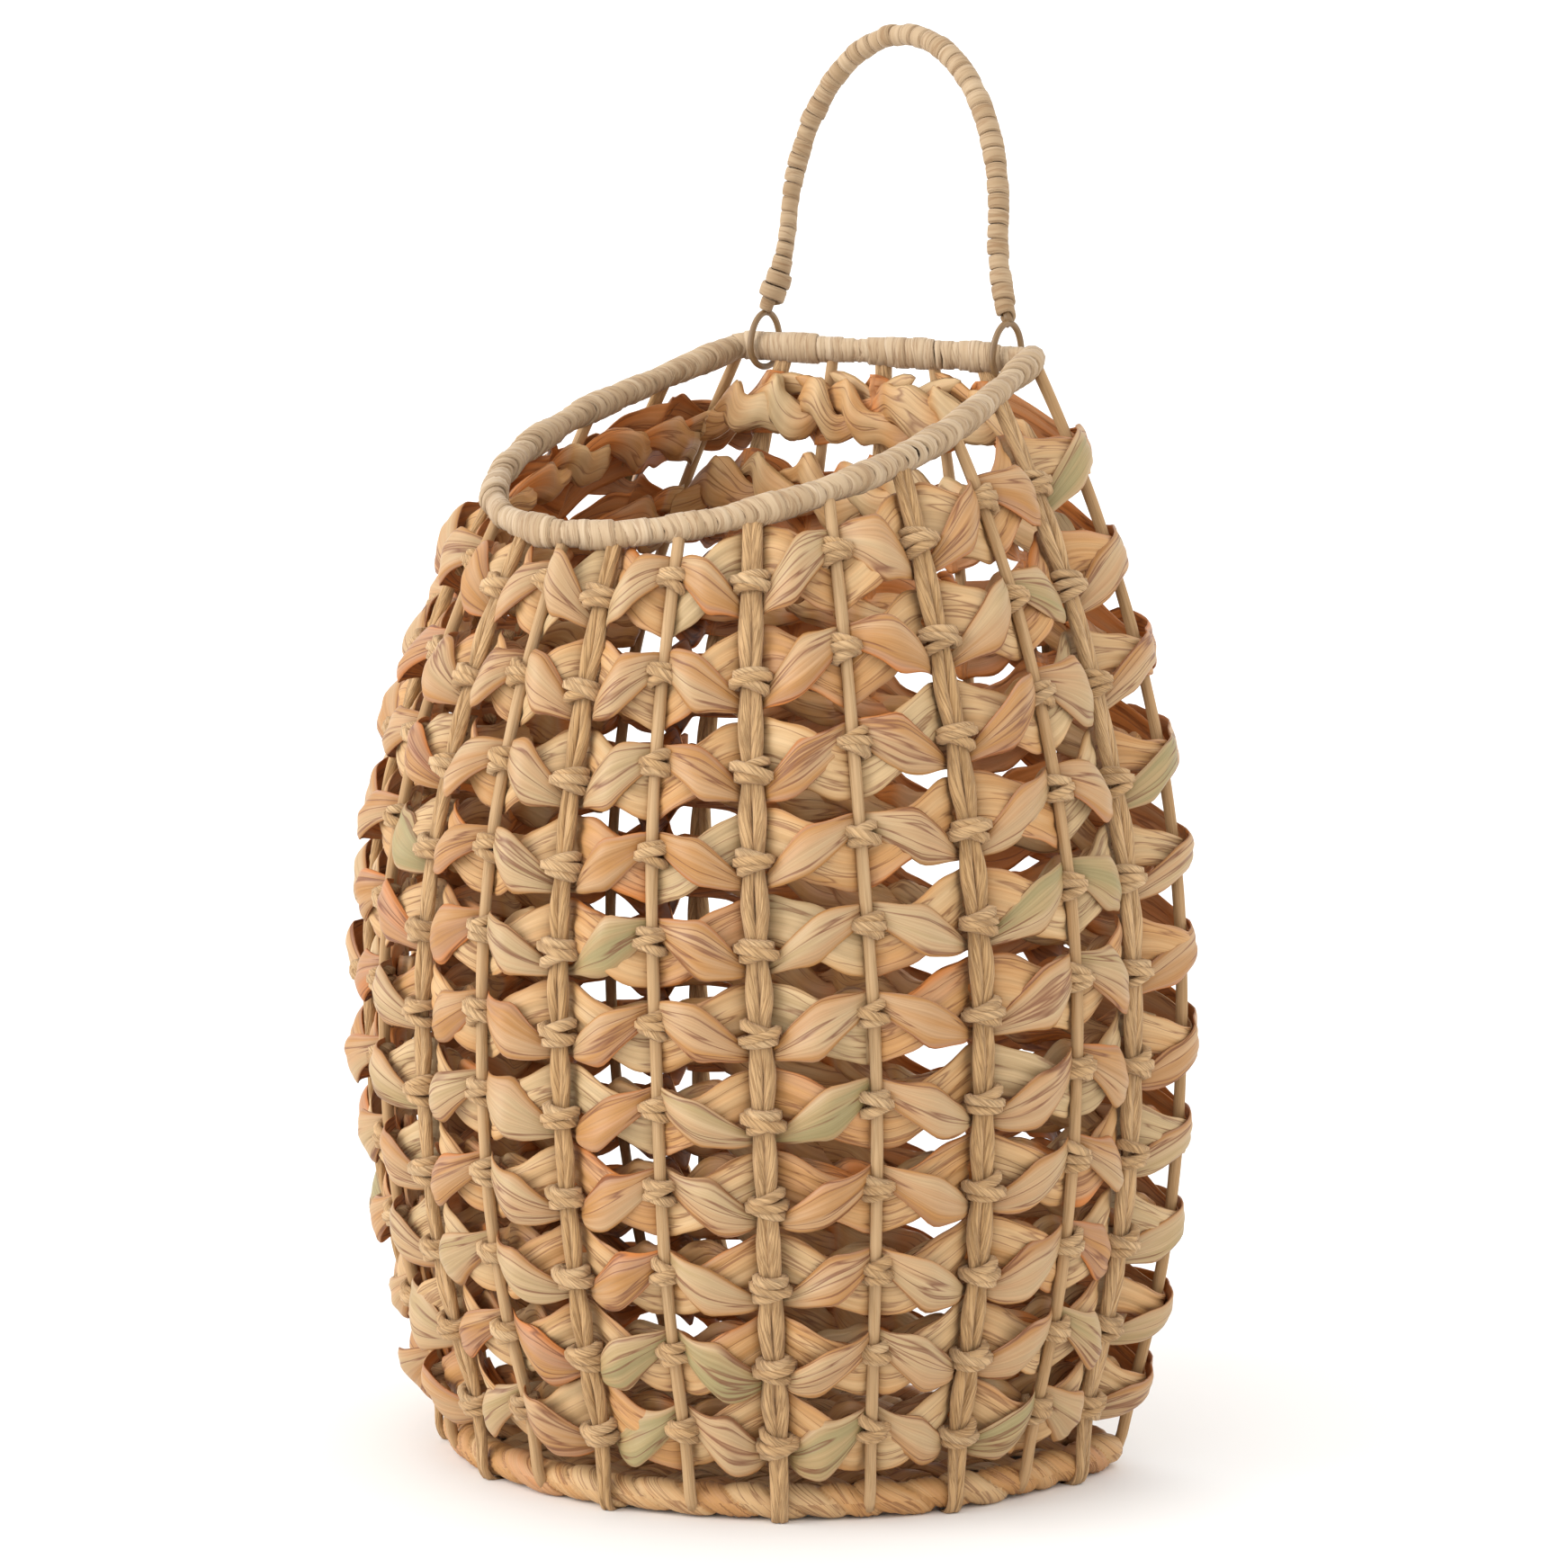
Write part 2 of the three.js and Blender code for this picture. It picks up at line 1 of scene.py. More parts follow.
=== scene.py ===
import json
import bpy
import numpy as np
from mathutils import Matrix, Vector


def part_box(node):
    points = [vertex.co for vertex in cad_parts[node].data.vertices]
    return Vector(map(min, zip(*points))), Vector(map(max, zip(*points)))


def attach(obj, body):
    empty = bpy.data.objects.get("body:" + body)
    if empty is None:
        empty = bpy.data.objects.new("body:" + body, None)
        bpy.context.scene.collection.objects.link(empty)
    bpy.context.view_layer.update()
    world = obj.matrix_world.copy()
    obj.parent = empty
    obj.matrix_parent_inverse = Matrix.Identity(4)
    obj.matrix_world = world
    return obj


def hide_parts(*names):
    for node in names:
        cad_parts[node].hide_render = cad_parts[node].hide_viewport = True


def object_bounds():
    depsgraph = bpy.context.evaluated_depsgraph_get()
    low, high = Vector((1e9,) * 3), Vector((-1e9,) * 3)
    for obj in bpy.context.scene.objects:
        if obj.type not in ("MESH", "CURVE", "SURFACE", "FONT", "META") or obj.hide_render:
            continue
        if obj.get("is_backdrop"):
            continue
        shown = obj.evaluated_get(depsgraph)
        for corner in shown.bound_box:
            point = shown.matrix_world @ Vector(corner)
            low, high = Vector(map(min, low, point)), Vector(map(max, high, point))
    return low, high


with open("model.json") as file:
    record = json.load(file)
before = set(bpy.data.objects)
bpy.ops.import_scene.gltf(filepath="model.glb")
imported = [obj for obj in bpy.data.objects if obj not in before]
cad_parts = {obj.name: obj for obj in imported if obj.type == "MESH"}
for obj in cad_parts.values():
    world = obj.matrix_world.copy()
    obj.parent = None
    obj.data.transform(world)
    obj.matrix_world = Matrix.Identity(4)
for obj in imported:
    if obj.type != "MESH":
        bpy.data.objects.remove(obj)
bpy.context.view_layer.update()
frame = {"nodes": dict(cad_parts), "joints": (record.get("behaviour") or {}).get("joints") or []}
perMetre = 1000          # the pieces are worked out in mm
hinge = np.array(frame["joints"][0]["pos_m"]) * perMetre
luck = np.random.default_rng(1722)
anyPhase = (0, 6)        # random start of a wave, in radians
rightward, backward, upright = np.eye(3)
print("frame loaded:", len(frame["nodes"]), "nodes")

# The wall that every piece follows, in mm about the basket's upright axis.
# A place on it counts stakes round from the front centre: even ones are rods, odd ones cords.
wall = {
    "stakes": 22, "rows": 11, "arcStakes": 6, "cornerStake": 8,
    "backHeight": 380, "rimTilt": 19.6, "backPlane": 51,
    "footRadius": 112, "bellyRadius": 146, "bellyHeight": 165, "mouthRadius": 73.5,
    "footCurve": 2.3, "shoulderCurve": 2, "frontRoundness": 0.97, "cornerShare": 0.958,
    "arcStep": 14.5, "arcSway": 6, "swaySpan": 6.5,
    "firstRow": 31.4, "lastRowDrop": 26, "rowSpread": 1.03, "rowTiltShare": 0.82, "rowTiltCurve": 1.65,
    "backRowLift": 10, "rowTries": 8, "rimTries": 12,
    "rodRadius": 2.25, "cordRadius": 2.75, "baseRadius": 7.2,
}
rimSlope = np.tan(np.radians(wall["rimTilt"]))
axisShift = np.array([0, hinge[1] - wall["backPlane"], 0])   # from the basket's axis to the row frame
stakes = np.arange(wall["stakes"])
rows = np.arange(wall["rows"])
isCord = stakes % 2 == 1
isCorner = np.isin(stakes, [wall["cornerStake"], wall["stakes"] - wall["cornerStake"]])


# Vectors brought to length 1
def unit(vectors):
    return vectors / np.maximum(np.linalg.norm(vectors, axis=-1, keepdims=True), 1e-9)


# Angles evenly round a circle
def circle(count):
    return np.linspace(0, 2 * np.pi, count, endpoint=False)


# From 0 to 1, level at both ends: the share squared * (3 - 2 * share)
def ease(share):
    return share * share * (3 - 2 * share)


# A hump: height * e to the power of -(distance from its middle / spread) squared
def hump(far, height, middle, spread):
    return height * np.exp(-((far - middle) / spread) ** 2)


# Radius at a height: the belly's, less a power of the share of the way down to the foot or up to the mouth
def wallRadius(z):
    down = np.clip((wall["bellyHeight"] - z) / wall["bellyHeight"], 0, None)
    up = np.clip((z - wall["bellyHeight"]) / (wall["backHeight"] - wall["bellyHeight"]), 0, None)
    foot = (wall["bellyRadius"] - wall["footRadius"]) * down ** wall["footCurve"]
    shoulder = (wall["bellyRadius"] - wall["mouthRadius"]) * up ** wall["shoulderCurve"]
    return wall["bellyRadius"] - foot - shoulder


# A D seen from above: an arc round the front, two sides that swing out to the corners, a straight back
def wallPoint(place, z):
    place, z = np.broadcast_arrays(np.mod(np.asarray(place, float), wall["stakes"]), np.asarray(z, float))
    half = wall["stakes"] / 2
    s = np.where(place > half, wall["stakes"] - place, place)
    radius = wallRadius(z)
    arc = np.minimum(s, wall["arcStakes"])
    sway = np.radians(wall["arcSway"] * z / wall["backHeight"]) * np.sin(np.pi * arc / wall["swaySpan"])
    angle = np.radians(wall["arcStep"] * arc) - sway
    x = radius * np.sin(angle)
    y = -wall["frontRoundness"] * radius * np.cos(angle)
    corner = wall["cornerShare"] * radius
    side = np.clip((s - wall["arcStakes"]) / (wall["cornerStake"] - wall["arcStakes"]), 0, 1)
    x = x + (corner - x) * side ** 2
    y = y + (wall["backPlane"] - y) * side
    back = np.clip((s - wall["cornerStake"]) / (half - wall["cornerStake"]), 0, 1)
    x = x * (1 - back)
    return np.stack([np.where(place > half, -x, x), y, z], -1)


# Directions at a point of the wall: along the row, up the stake, and square out of the wall
def wallWays(place, z, span=0.3):
    along = unit(wallPoint(place + span, z) - wallPoint(place - span, z))
    up = unit(wallPoint(place, z + 1) - wallPoint(place, z - 1))
    out = unit(np.cross(along, up))
    return unit(np.cross(up, out)), up, out


# Height of the rim's slanted plane
def rimHeight(y):
    return wall["backHeight"] + rimSlope * (y - wall["backPlane"])


# A row's height rises evenly from the first to the last, tilts more the nearer it is to the slanted rim,
# and lifts behind the corners
def rowHeight(row, place):
    middle = rimHeight(0)
    last = middle - wall["lastRowDrop"]
    share = (row / (wall["rows"] - 1)) ** wall["rowSpread"]
    level = wall["firstRow"] + (last - wall["firstRow"]) * share
    tilt = rimSlope * wall["rowTiltShare"] * (level / middle) ** wall["rowTiltCurve"]
    fromFront = np.abs(place - wall["stakes"] * np.round(place / wall["stakes"]))
    behind = np.clip(fromFront - wall["cornerStake"], 0, 1)
    level = level + wall["backRowLift"] * share ** 2 * ease(behind)
    z = level
    for _ in range(wall["rowTries"]):
        z = level + tilt * wallPoint(place, z)[..., 1]
    return z


# Height from one row to the next
def rowPitch(row, place):
    low, high = np.maximum(row - 0.5, 0), np.minimum(row + 0.5, wall["rows"] - 1)
    return (rowHeight(high, place) - rowHeight(low, place)) / (high - low)


# The wall's point in the slanted plane of the rim
def rimPoint(place):
    z = np.full(np.shape(place), float(wall["backHeight"]))
    for _ in range(wall["rimTries"]):
        z = rimHeight(wallPoint(place, z)[..., 1])
    return wallPoint(place, z)


# Each pass takes a quarter of both neighbours along the first axis, closed or with fixed ends
def soften(points, passes, closed=True):
    for _ in range(passes):
        mean = (np.roll(points, 1, 0) + 2 * points + np.roll(points, -1, 0)) / 4
        if not closed:
            mean[0], mean[-1] = points[0], points[-1]
        points = mean
    return points


# Distance along a path to each of its points
def walked(points):
    return np.concatenate([[0], np.cumsum(np.linalg.norm(np.diff(points, axis=0), axis=1))])


# The same path with its points at even distances, and its length
def evenPath(points, count, closed=True):
    if closed:
        points = np.concatenate([points, points[:1]])
    far = walked(points)
    at = np.linspace(0, far[-1], count, endpoint=not closed)
    return np.stack([np.interp(at, far, points[:, k]) for k in range(3)], -1), far[-1]


# The way along a path, from the point before to the one after
def forward(path, closed):
    return unit(np.roll(path, -1, -2) - np.roll(path, 1, -2) if closed else np.gradient(path, axis=-2))


# Two directions square to a path, the second as near as it gets to the guide
def pathWays(path, guide, closed=True):
    tangent = forward(path, closed)
    side = unit(np.cross(tangent, guide))
    return side, np.cross(side, tangent)


# A section carried along paths: path + across * width * cos + lift * depth * sin, where cos and sin are raised
# to the power square, so that a power below 1 gives a squarer section
def sweep(path, across, lift, width, depth, sides, square=1.0):
    angle = circle(sides)
    cosine, sine = (np.sign(wave) * np.abs(wave) ** square for wave in (np.cos(angle), np.sin(angle)))
    width, depth = np.asarray(width, float), np.asarray(depth, float)
    wide = width[..., None] if width.ndim < path.ndim else width
    deep = depth[..., None] if depth.ndim < path.ndim else depth
    return (path[..., None, :] + across[..., None, :] * (wide * cosine)[..., None]
            + lift[..., None, :] * (deep * sine)[..., None])


# A new object of the scene
def addObject(name, data):
    thing = bpy.data.objects.new(name, data)
    bpy.context.scene.collection.objects.link(thing)
    return thing


# One mesh of one or more closed shells: points[shell, ring, side] in mm, sides always closed, rings closed or
# capped. Along and around are distances in mm for the grain's own map, which starts elsewhere in each shell.
grainStart = {"along": 900, "aroundShare": 0.37}


def addSurface(name, points, material, stands=(), body="basket", closed=False,
               along=None, around=None, tint=0.5):
    shells, rings, sides, _ = points.shape
    index = np.arange(shells * rings * sides).reshape(shells, rings, sides)
    ring, side = np.meshgrid(np.arange(rings if closed else rings - 1), np.arange(sides), indexing="ij")
    corners = [(ring, side), (ring + 1, side), (ring + 1, side + 1), (ring, side + 1)]
    quads = np.stack([index[:, a % rings, b % sides] for a, b in corners], -1)
    if along is None:
        step = np.linalg.norm(np.diff(points.mean(2), axis=1), axis=-1).mean()
        along = np.arange(rings + 1) * step
    if around is None:
        edge = np.linalg.norm(points - np.roll(points, 1, 2), axis=-1).mean()
        around = np.arange(sides + 1) * edge
    along = np.asarray(along)[..., None] if np.ndim(along) < 3 else along
    along, around = (np.broadcast_to(far, (shells, rings + 1, sides + 1)) for far in (along, around))
    start = luck.uniform(0, grainStart["along"], (shells, 1, 1))
    along, around = along + start, around + grainStart["aroundShare"] * start
    grain = np.stack([np.stack([along[:, a, b], around[:, a, b]], -1) for a, b in corners], -2)
    caps = np.zeros((0, sides), int) if closed else np.concatenate([index[:, 0], index[:, -1, ::-1]])
    flat = points.reshape(-1, 3)
    a, b, c, d = (flat[quads[..., k].ravel()] for k in range(4))
    if np.sum(a * np.cross(b, c)) + np.sum(a * np.cross(c, d)) < 0:   # inside out, so reverse every face
        quads, grain, caps = quads[..., ::-1], grain[..., ::-1, :], caps[:, ::-1]
    loops = np.concatenate([quads.ravel(), caps.ravel()]).astype(np.int32)
    starts = np.concatenate([np.arange(quads.size // 4) * 4, quads.size + np.arange(len(caps)) * sides])
    mesh = bpy.data.meshes.new(name)
    mesh.vertices.add(len(flat))
    mesh.vertices.foreach_set("co", ((flat + axisShift) / perMetre).astype(np.float32).ravel())
    mesh.loops.add(len(loops))
    mesh.loops.foreach_set("vertex_index", loops)
    mesh.polygons.add(len(starts))
    mesh.polygons.foreach_set("loop_start", starts.astype(np.int32))
    mesh.polygons.foreach_set("use_smooth", np.ones(len(starts), bool))
    mesh.update(calc_edges=True)
    grainMap = mesh.uv_layers.new(name="grain")
    grainMap.data.foreach_set("uv", np.concatenate([grain.reshape(-1, 2), np.zeros((caps.size, 2))])
                              .astype(np.float32).ravel())
    shade = mesh.attributes.new("tint", "FLOAT", "POINT")
    shade.data.foreach_set("value", np.broadcast_to(tint, (shells, rings, sides)).astype(np.float32).ravel())
    mesh.materials.append(material)
    piece = addObject(name, mesh)
    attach(piece, body)
    if stands:
        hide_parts(*stands)


# A screen colour as shares of light
def linear(hexColour):
    share = np.array([int(hexColour[k:k + 2], 16) for k in (1, 3, 5)]) / 255
    return (*np.where(share <= 0.04045, share / 12.92, ((share + 0.055) / 1.055) ** 2.4), 1.0)


# Adds a node: plain settings by name, ramp stops, then input values or links
def put(tree, kind, inputs=None, stops=None, **settings):
    node = tree.nodes.new(kind)
    for name, value in settings.items():
        setattr(node, name, value)
    if stops:
        while len(node.color_ramp.elements) < len(stops):
            node.color_ramp.elements.new(0.5)
        for element, (place, colour) in zip(node.color_ramp.elements, stops):
            element.position, element.color = place, colour
    for name, value in (inputs or {}).items():
        if isinstance(value, bpy.types.NodeSocket):
            tree.links.new(value, node.inputs[name])
        else:
            node.inputs[name].default_value = value
    return node


# Plant fibre with a lengthwise grain: tone by piece and by broad streaks, fine ribs, dark crease lines.
# Streak, rib and crease sizes are mm along and across the grain.
plainFibre = {"detail": 3.0, "noiseRoughness": 0.6, "noiseMiddle": 0.5, "furrowAt": 0.3, "ridgeAt": 0.7,
              "furrowGreen": 0.95, "furrowBlue": 0.86, "creaseSink": -0.7, "roughSpread": 0.1,
              "bumpHeight": 0.4, "ior": 1.45, "sheen": 0.0}
black, white = (0, 0, 0, 1), (1, 1, 1, 1)


def fibreMaterial(**own):
    look = {**plainFibre, **own}
    material = bpy.data.materials.new(look["name"])
    material.use_nodes = True
    tree = material.node_tree
    tree.nodes.clear()
    maths = lambda way, *values: put(tree, "ShaderNodeMath", dict(enumerate(values)), operation=way).outputs[0]
    ramp = lambda share, stops: put(tree, "ShaderNodeValToRGB", {"Fac": share}, stops=stops).outputs["Color"]
    grain = put(tree, "ShaderNodeUVMap", uv_map="grain").outputs["UV"]
    tint = put(tree, "ShaderNodeAttribute", attribute_name="tint").outputs["Fac"]
    layers = {}
    for layer in ("streak", "rib", "crease"):
        long, wide = look[layer]
        spread = put(tree, "ShaderNodeMapping", {"Vector": grain, "Scale": (1 / long, 1 / wide, 1)})
        layers[layer] = put(tree, "ShaderNodeTexNoise", {
            "Vector": spread.outputs["Vector"], "Scale": 1.0, "Detail": look["detail"],
            "Roughness": look["noiseRoughness"]}).outputs["Fac"]
    middle, half = look["noiseMiddle"], look["creaseWidth"]
    swing = maths("ADD", layers["streak"], -middle)
    span = max(look["tones"])
    tone = maths("DIVIDE", maths("MULTIPLY_ADD", swing, look["streakShare"], tint), span)
    base = ramp(tone, [(place / span, linear(colour)) for place, colour in look["tones"].items()])
    low, high = look["ribShade"]                         # the furrows between ribs are browner too
    furrow = (low, look["furrowGreen"] * low, look["furrowBlue"] * low, 1)
    ribs = ramp(layers["rib"], [(look["furrowAt"], furrow), (look["ridgeAt"], (high, high, high, 1))])
    ribbed = put(tree, "ShaderNodeMix", {0: 1.0, 6: base, 7: ribs}, data_type="RGBA", blend_type="MULTIPLY")
    lines = ramp(layers["crease"], [(middle - half, black), (middle, white), (middle + half, black)])
    creased = put(tree, "ShaderNodeMix", {
        0: maths("MULTIPLY", lines, look["creaseShade"]), 6: ribbed.outputs[2], 7: linear(look["creaseTone"])},
        data_type="RGBA")
    bump = put(tree, "ShaderNodeBump", {
        "Height": maths("MULTIPLY_ADD", lines, look["creaseSink"], layers["rib"]), "Strength": look["bump"],
        "Distance": look["bumpHeight"] / perMetre})
    rough = put(tree, "ShaderNodeMapRange", {
        "Value": layers["rib"], "To Min": look["roughness"] - look["roughSpread"],
        "To Max": look["roughness"] + look["roughSpread"]})
    shader = put(tree, "ShaderNodeBsdfPrincipled", {
        "Base Color": creased.outputs[2], "Roughness": rough.outputs["Result"],
        "Normal": bump.outputs["Normal"], "IOR": look["ior"], "Specular IOR Level": look["gloss"],
        "Sheen Weight": look["sheen"]})
    put(tree, "ShaderNodeOutputMaterial", {"Surface": shader.outputs["BSDF"]})
    return material


# Sun-dried leaf, folded by hand: satin, faintly ribbed along its length, tan with orange, pink and
# grey-green leaves
driedLeaf = fibreMaterial(
    name="sunDriedLeaf", streak=(70, 5.0), rib=(60, 0.7), crease=(150, 9.0),
    tones={0.0: "#9A8B5F", 0.16: "#AB9165", 0.34: "#B99D76", 0.6: "#B89168", 0.8: "#AF7D44",
           1.0: "#AF8361", 1.35: "#C47A3C"},
    streakShare=0.9, ribShade=(0.80, 1.07), creaseWidth=0.022, creaseShade=0.85, creaseTone="#703E21",
    bump=0.45, roughness=0.5, gloss=0.55)
# The same leaf in the rear strands, twists, base ring and floor: more crumpled and more even in tone. Its
# tones are also paler and more golden than the outer leaf's, partly painted light that makes up for the shade
# inside the weave and at the base ring.
foldedLeafPaintedLight = fibreMaterial(
    name="foldedDriedLeafPaintedLight", streak=(50, 4.0), rib=(45, 0.8), crease=(90, 7.0),
    tones={0.0: "#B89E76", 0.2: "#C7AA80", 0.5: "#C9A476", 0.8: "#C08F59", 1.0: "#BE9066",
           1.35: "#C47A3C"},
    streakShare=0.75, ribShade=(0.83, 1.06), creaseWidth=0.022, creaseShade=0.65, creaseTone="#6E3B1E",
    bump=0.45, roughness=0.55, gloss=0.45)
# Twisted paper twine of the cords and ties: matt straw, with fibres that follow the lay
paperTwine = fibreMaterial(
    name="twistedPaperTwine", streak=(25, 1.6), rib=(16, 0.7), crease=(22, 1.6),
    tones={0.0: "#B48C59", 0.35: "#C6A174", 0.7: "#CFAC81", 1.0: "#D5B78F"},
    streakShare=0.6, ribShade=(0.74, 1.06), creaseWidth=0.05, creaseShade=0.55, creaseTone="#80582E",
    bump=0.7, bumpHeight=0.5, roughness=0.75, gloss=0.2, sheen=0.1)
# Flat paper tape wound on the rim and handle: paler and smoother than the twine
paperTape = fibreMaterial(
    name="flatPaperTape", streak=(30, 2.4), rib=(24, 0.8), crease=(40, 2.6),
    tones={0.0: "#9C8263", 0.35: "#AF9576", 0.7: "#BEA78A", 1.0: "#C8B59C"},
    streakShare=0.6, ribShade=(0.82, 1.05), creaseWidth=0.04, creaseShade=0.45, creaseTone="#7D5732",
    bump=0.5, roughness=0.7, gloss=0.2, sheen=0.1)
# Paper wound tight on a thin rod: smoother and flatter than the twine
paperRod = fibreMaterial(
    name="paperCoveredRod", streak=(40, 2.0), rib=(60, 0.8), crease=(80, 3.0),
    tones={0.0: "#A9855B", 0.5: "#B7956D", 1.0: "#C0A37E"},
    streakShare=0.7, ribShade=(0.86, 1.05), creaseWidth=0.04, creaseShade=0.35, creaseTone="#866538",
    bump=0.35, bumpHeight=0.3, roughness=0.6, gloss=0.3)
# Steel wire dipped in brown lacquer: bare at the handle's eyes, worn and a little dull
lacqueredWire = fibreMaterial(
    name="brownLacqueredWire", streak=(14, 3.0), rib=(9, 0.9), crease=(30, 2.0),
    tones={0.0: "#6E5537", 0.5: "#866A48", 1.0: "#997D58"},
    streakShare=0.8, ribShade=(0.85, 1.05), creaseWidth=0.03, creaseShade=0.4, creaseTone="#523D26",
    bump=0.25, bumpHeight=0.2, roughness=0.45, ior=1.5, gloss=0.5)
print("materials made")

# Leaf strands: all the way round, high at one stake and low at the next. The outer one is folded to a pointed
# leaf between each two stakes, the inner one stays broad and pleated. At, tip and middle are shares of the
# row's pitch, tuck the share of a cell that hides behind a stake, breadth the range of a leaf's width.
# Both share the ranges of what differs from leaf to leaf, the folds and edges, the tones (start and span of
# each kind, then what edges, low rows and undersides change) and mm of grain. The browner undersides are
# partly the leaf's own colour and partly painted shade and warm bounce light of the basket's inside.
plainLeaf = {
    "warp": (0.8, 1.25), "drift": (-0.05, 0.05), "rippleStart": (0, 1), "curl": (-0.28, 0.28),
    "foldAt": (-0.5, 0.5), "pleatStart": (0, 3.14), "pleatTurn": (-0.8, 0.8), "push": (0.8, 1.2),
    "odd": (0, 1), "tone": (0, 1), "tintAcross": (-0.24, 0.24), "tintAlong": (-0.18, 0.18),
    "gap": 1.3, "thickness": 1.0, "bulgePower": 0.6, "pleatWave": 1.57, "pleatMiddle": 0.6, "pleatFade": 0.6,
    "edgePower": 6, "edgeThin": 0.55, "edgeBack": 0.9, "ripples": 2.2, "ripple": 0.06,
    "green": (0.06, 0.16), "tan": (0.36, 0.4), "pink": (0.84, 0.14), "greenBelow": 0.1, "pinkAbove": 0.88,
    "edgeTint": 0.45, "lowTint": 0.1, "underShadeTint": 1.2, "underShare": 0.3, "underFrom": 0.5,
    "grainHalf": 7.5, "grainBack": 21, "grainCell": 31.7}
outerLeaf = {
    **plainLeaf, "atRod": 0.23, "atCord": -0.33, "tipRod": 0.11, "tipCord": 0.06, "tuckRod": 0.02,
    "tuckCord": 0.08, "middle": 0.325, "breadth": (0.85, 1.16), "point": 1.0, "angular": 0.9, "bulge": 10.5,
    "round": 0.0, "fold": 0.25, "pleats": 2.2, "pleatDepth": 0.4, "behind": 0.0, "faceSteps": 15}
innerLeaf = {
    **plainLeaf, "atRod": -0.22, "atCord": 0.24, "tipRod": 0.30, "tipCord": 0.30, "tuckRod": 0.0,
    "tuckCord": 0.06, "middle": 0.30, "breadth": (0.9, 1.15), "point": 1.4, "angular": 0.35, "bulge": 6.0,
    "round": 0.8, "fold": 0.15, "pleats": 2.4, "pleatDepth": 0.9, "behind": 0.6, "faceSteps": 21}
# Breadth of the leaves round the back and far side by place: two columns of windows show in the photograph
rearPlaces = [8.0, 8.4, 9.9, 10.15, 10.75, 11.0, 12.4, 12.65, 13.3, 13.55, 15.2, 16.5, 17.5]
rearBreadth = [1.0, 1.4, 1.4, 0.6, 0.6, 1.5, 1.5, 0.75, 0.75, 1.8, 1.8, 1.4, 1.0]
lowBreadth = 1.15        # the lowest row is broader and nearly meets the base ring
# The upper rows are broad on the far side, and the top one keeps clear of the bar
upperPlaces = [8.0, 8.4, 13.4, 14.2, 17.0, 18.0]
upperBreadth = {8: [1.0, 1.3, 1.3, 1.3, 1.3, 1.0], 9: [1.0, 1.1, 1.1, 1.35, 1.35, 1.0],
                10: [1.0, 0.7, 0.7, 1.35, 1.35, 1.0]}
cornerDraw = 0.3         # the swing that is left where the strands are drawn together round a corner rod
cornerTip = 0.16         # half height at a corner rod, as a share of the pitch
cornerPinch = 0.62       # leaves in the cell beside the right corner are smaller by this
besideCorner = wall["cornerStake"] - 1
cordStandOff = 1.2       # a cord stands this far in front of the wall's line
cellSteps = 18


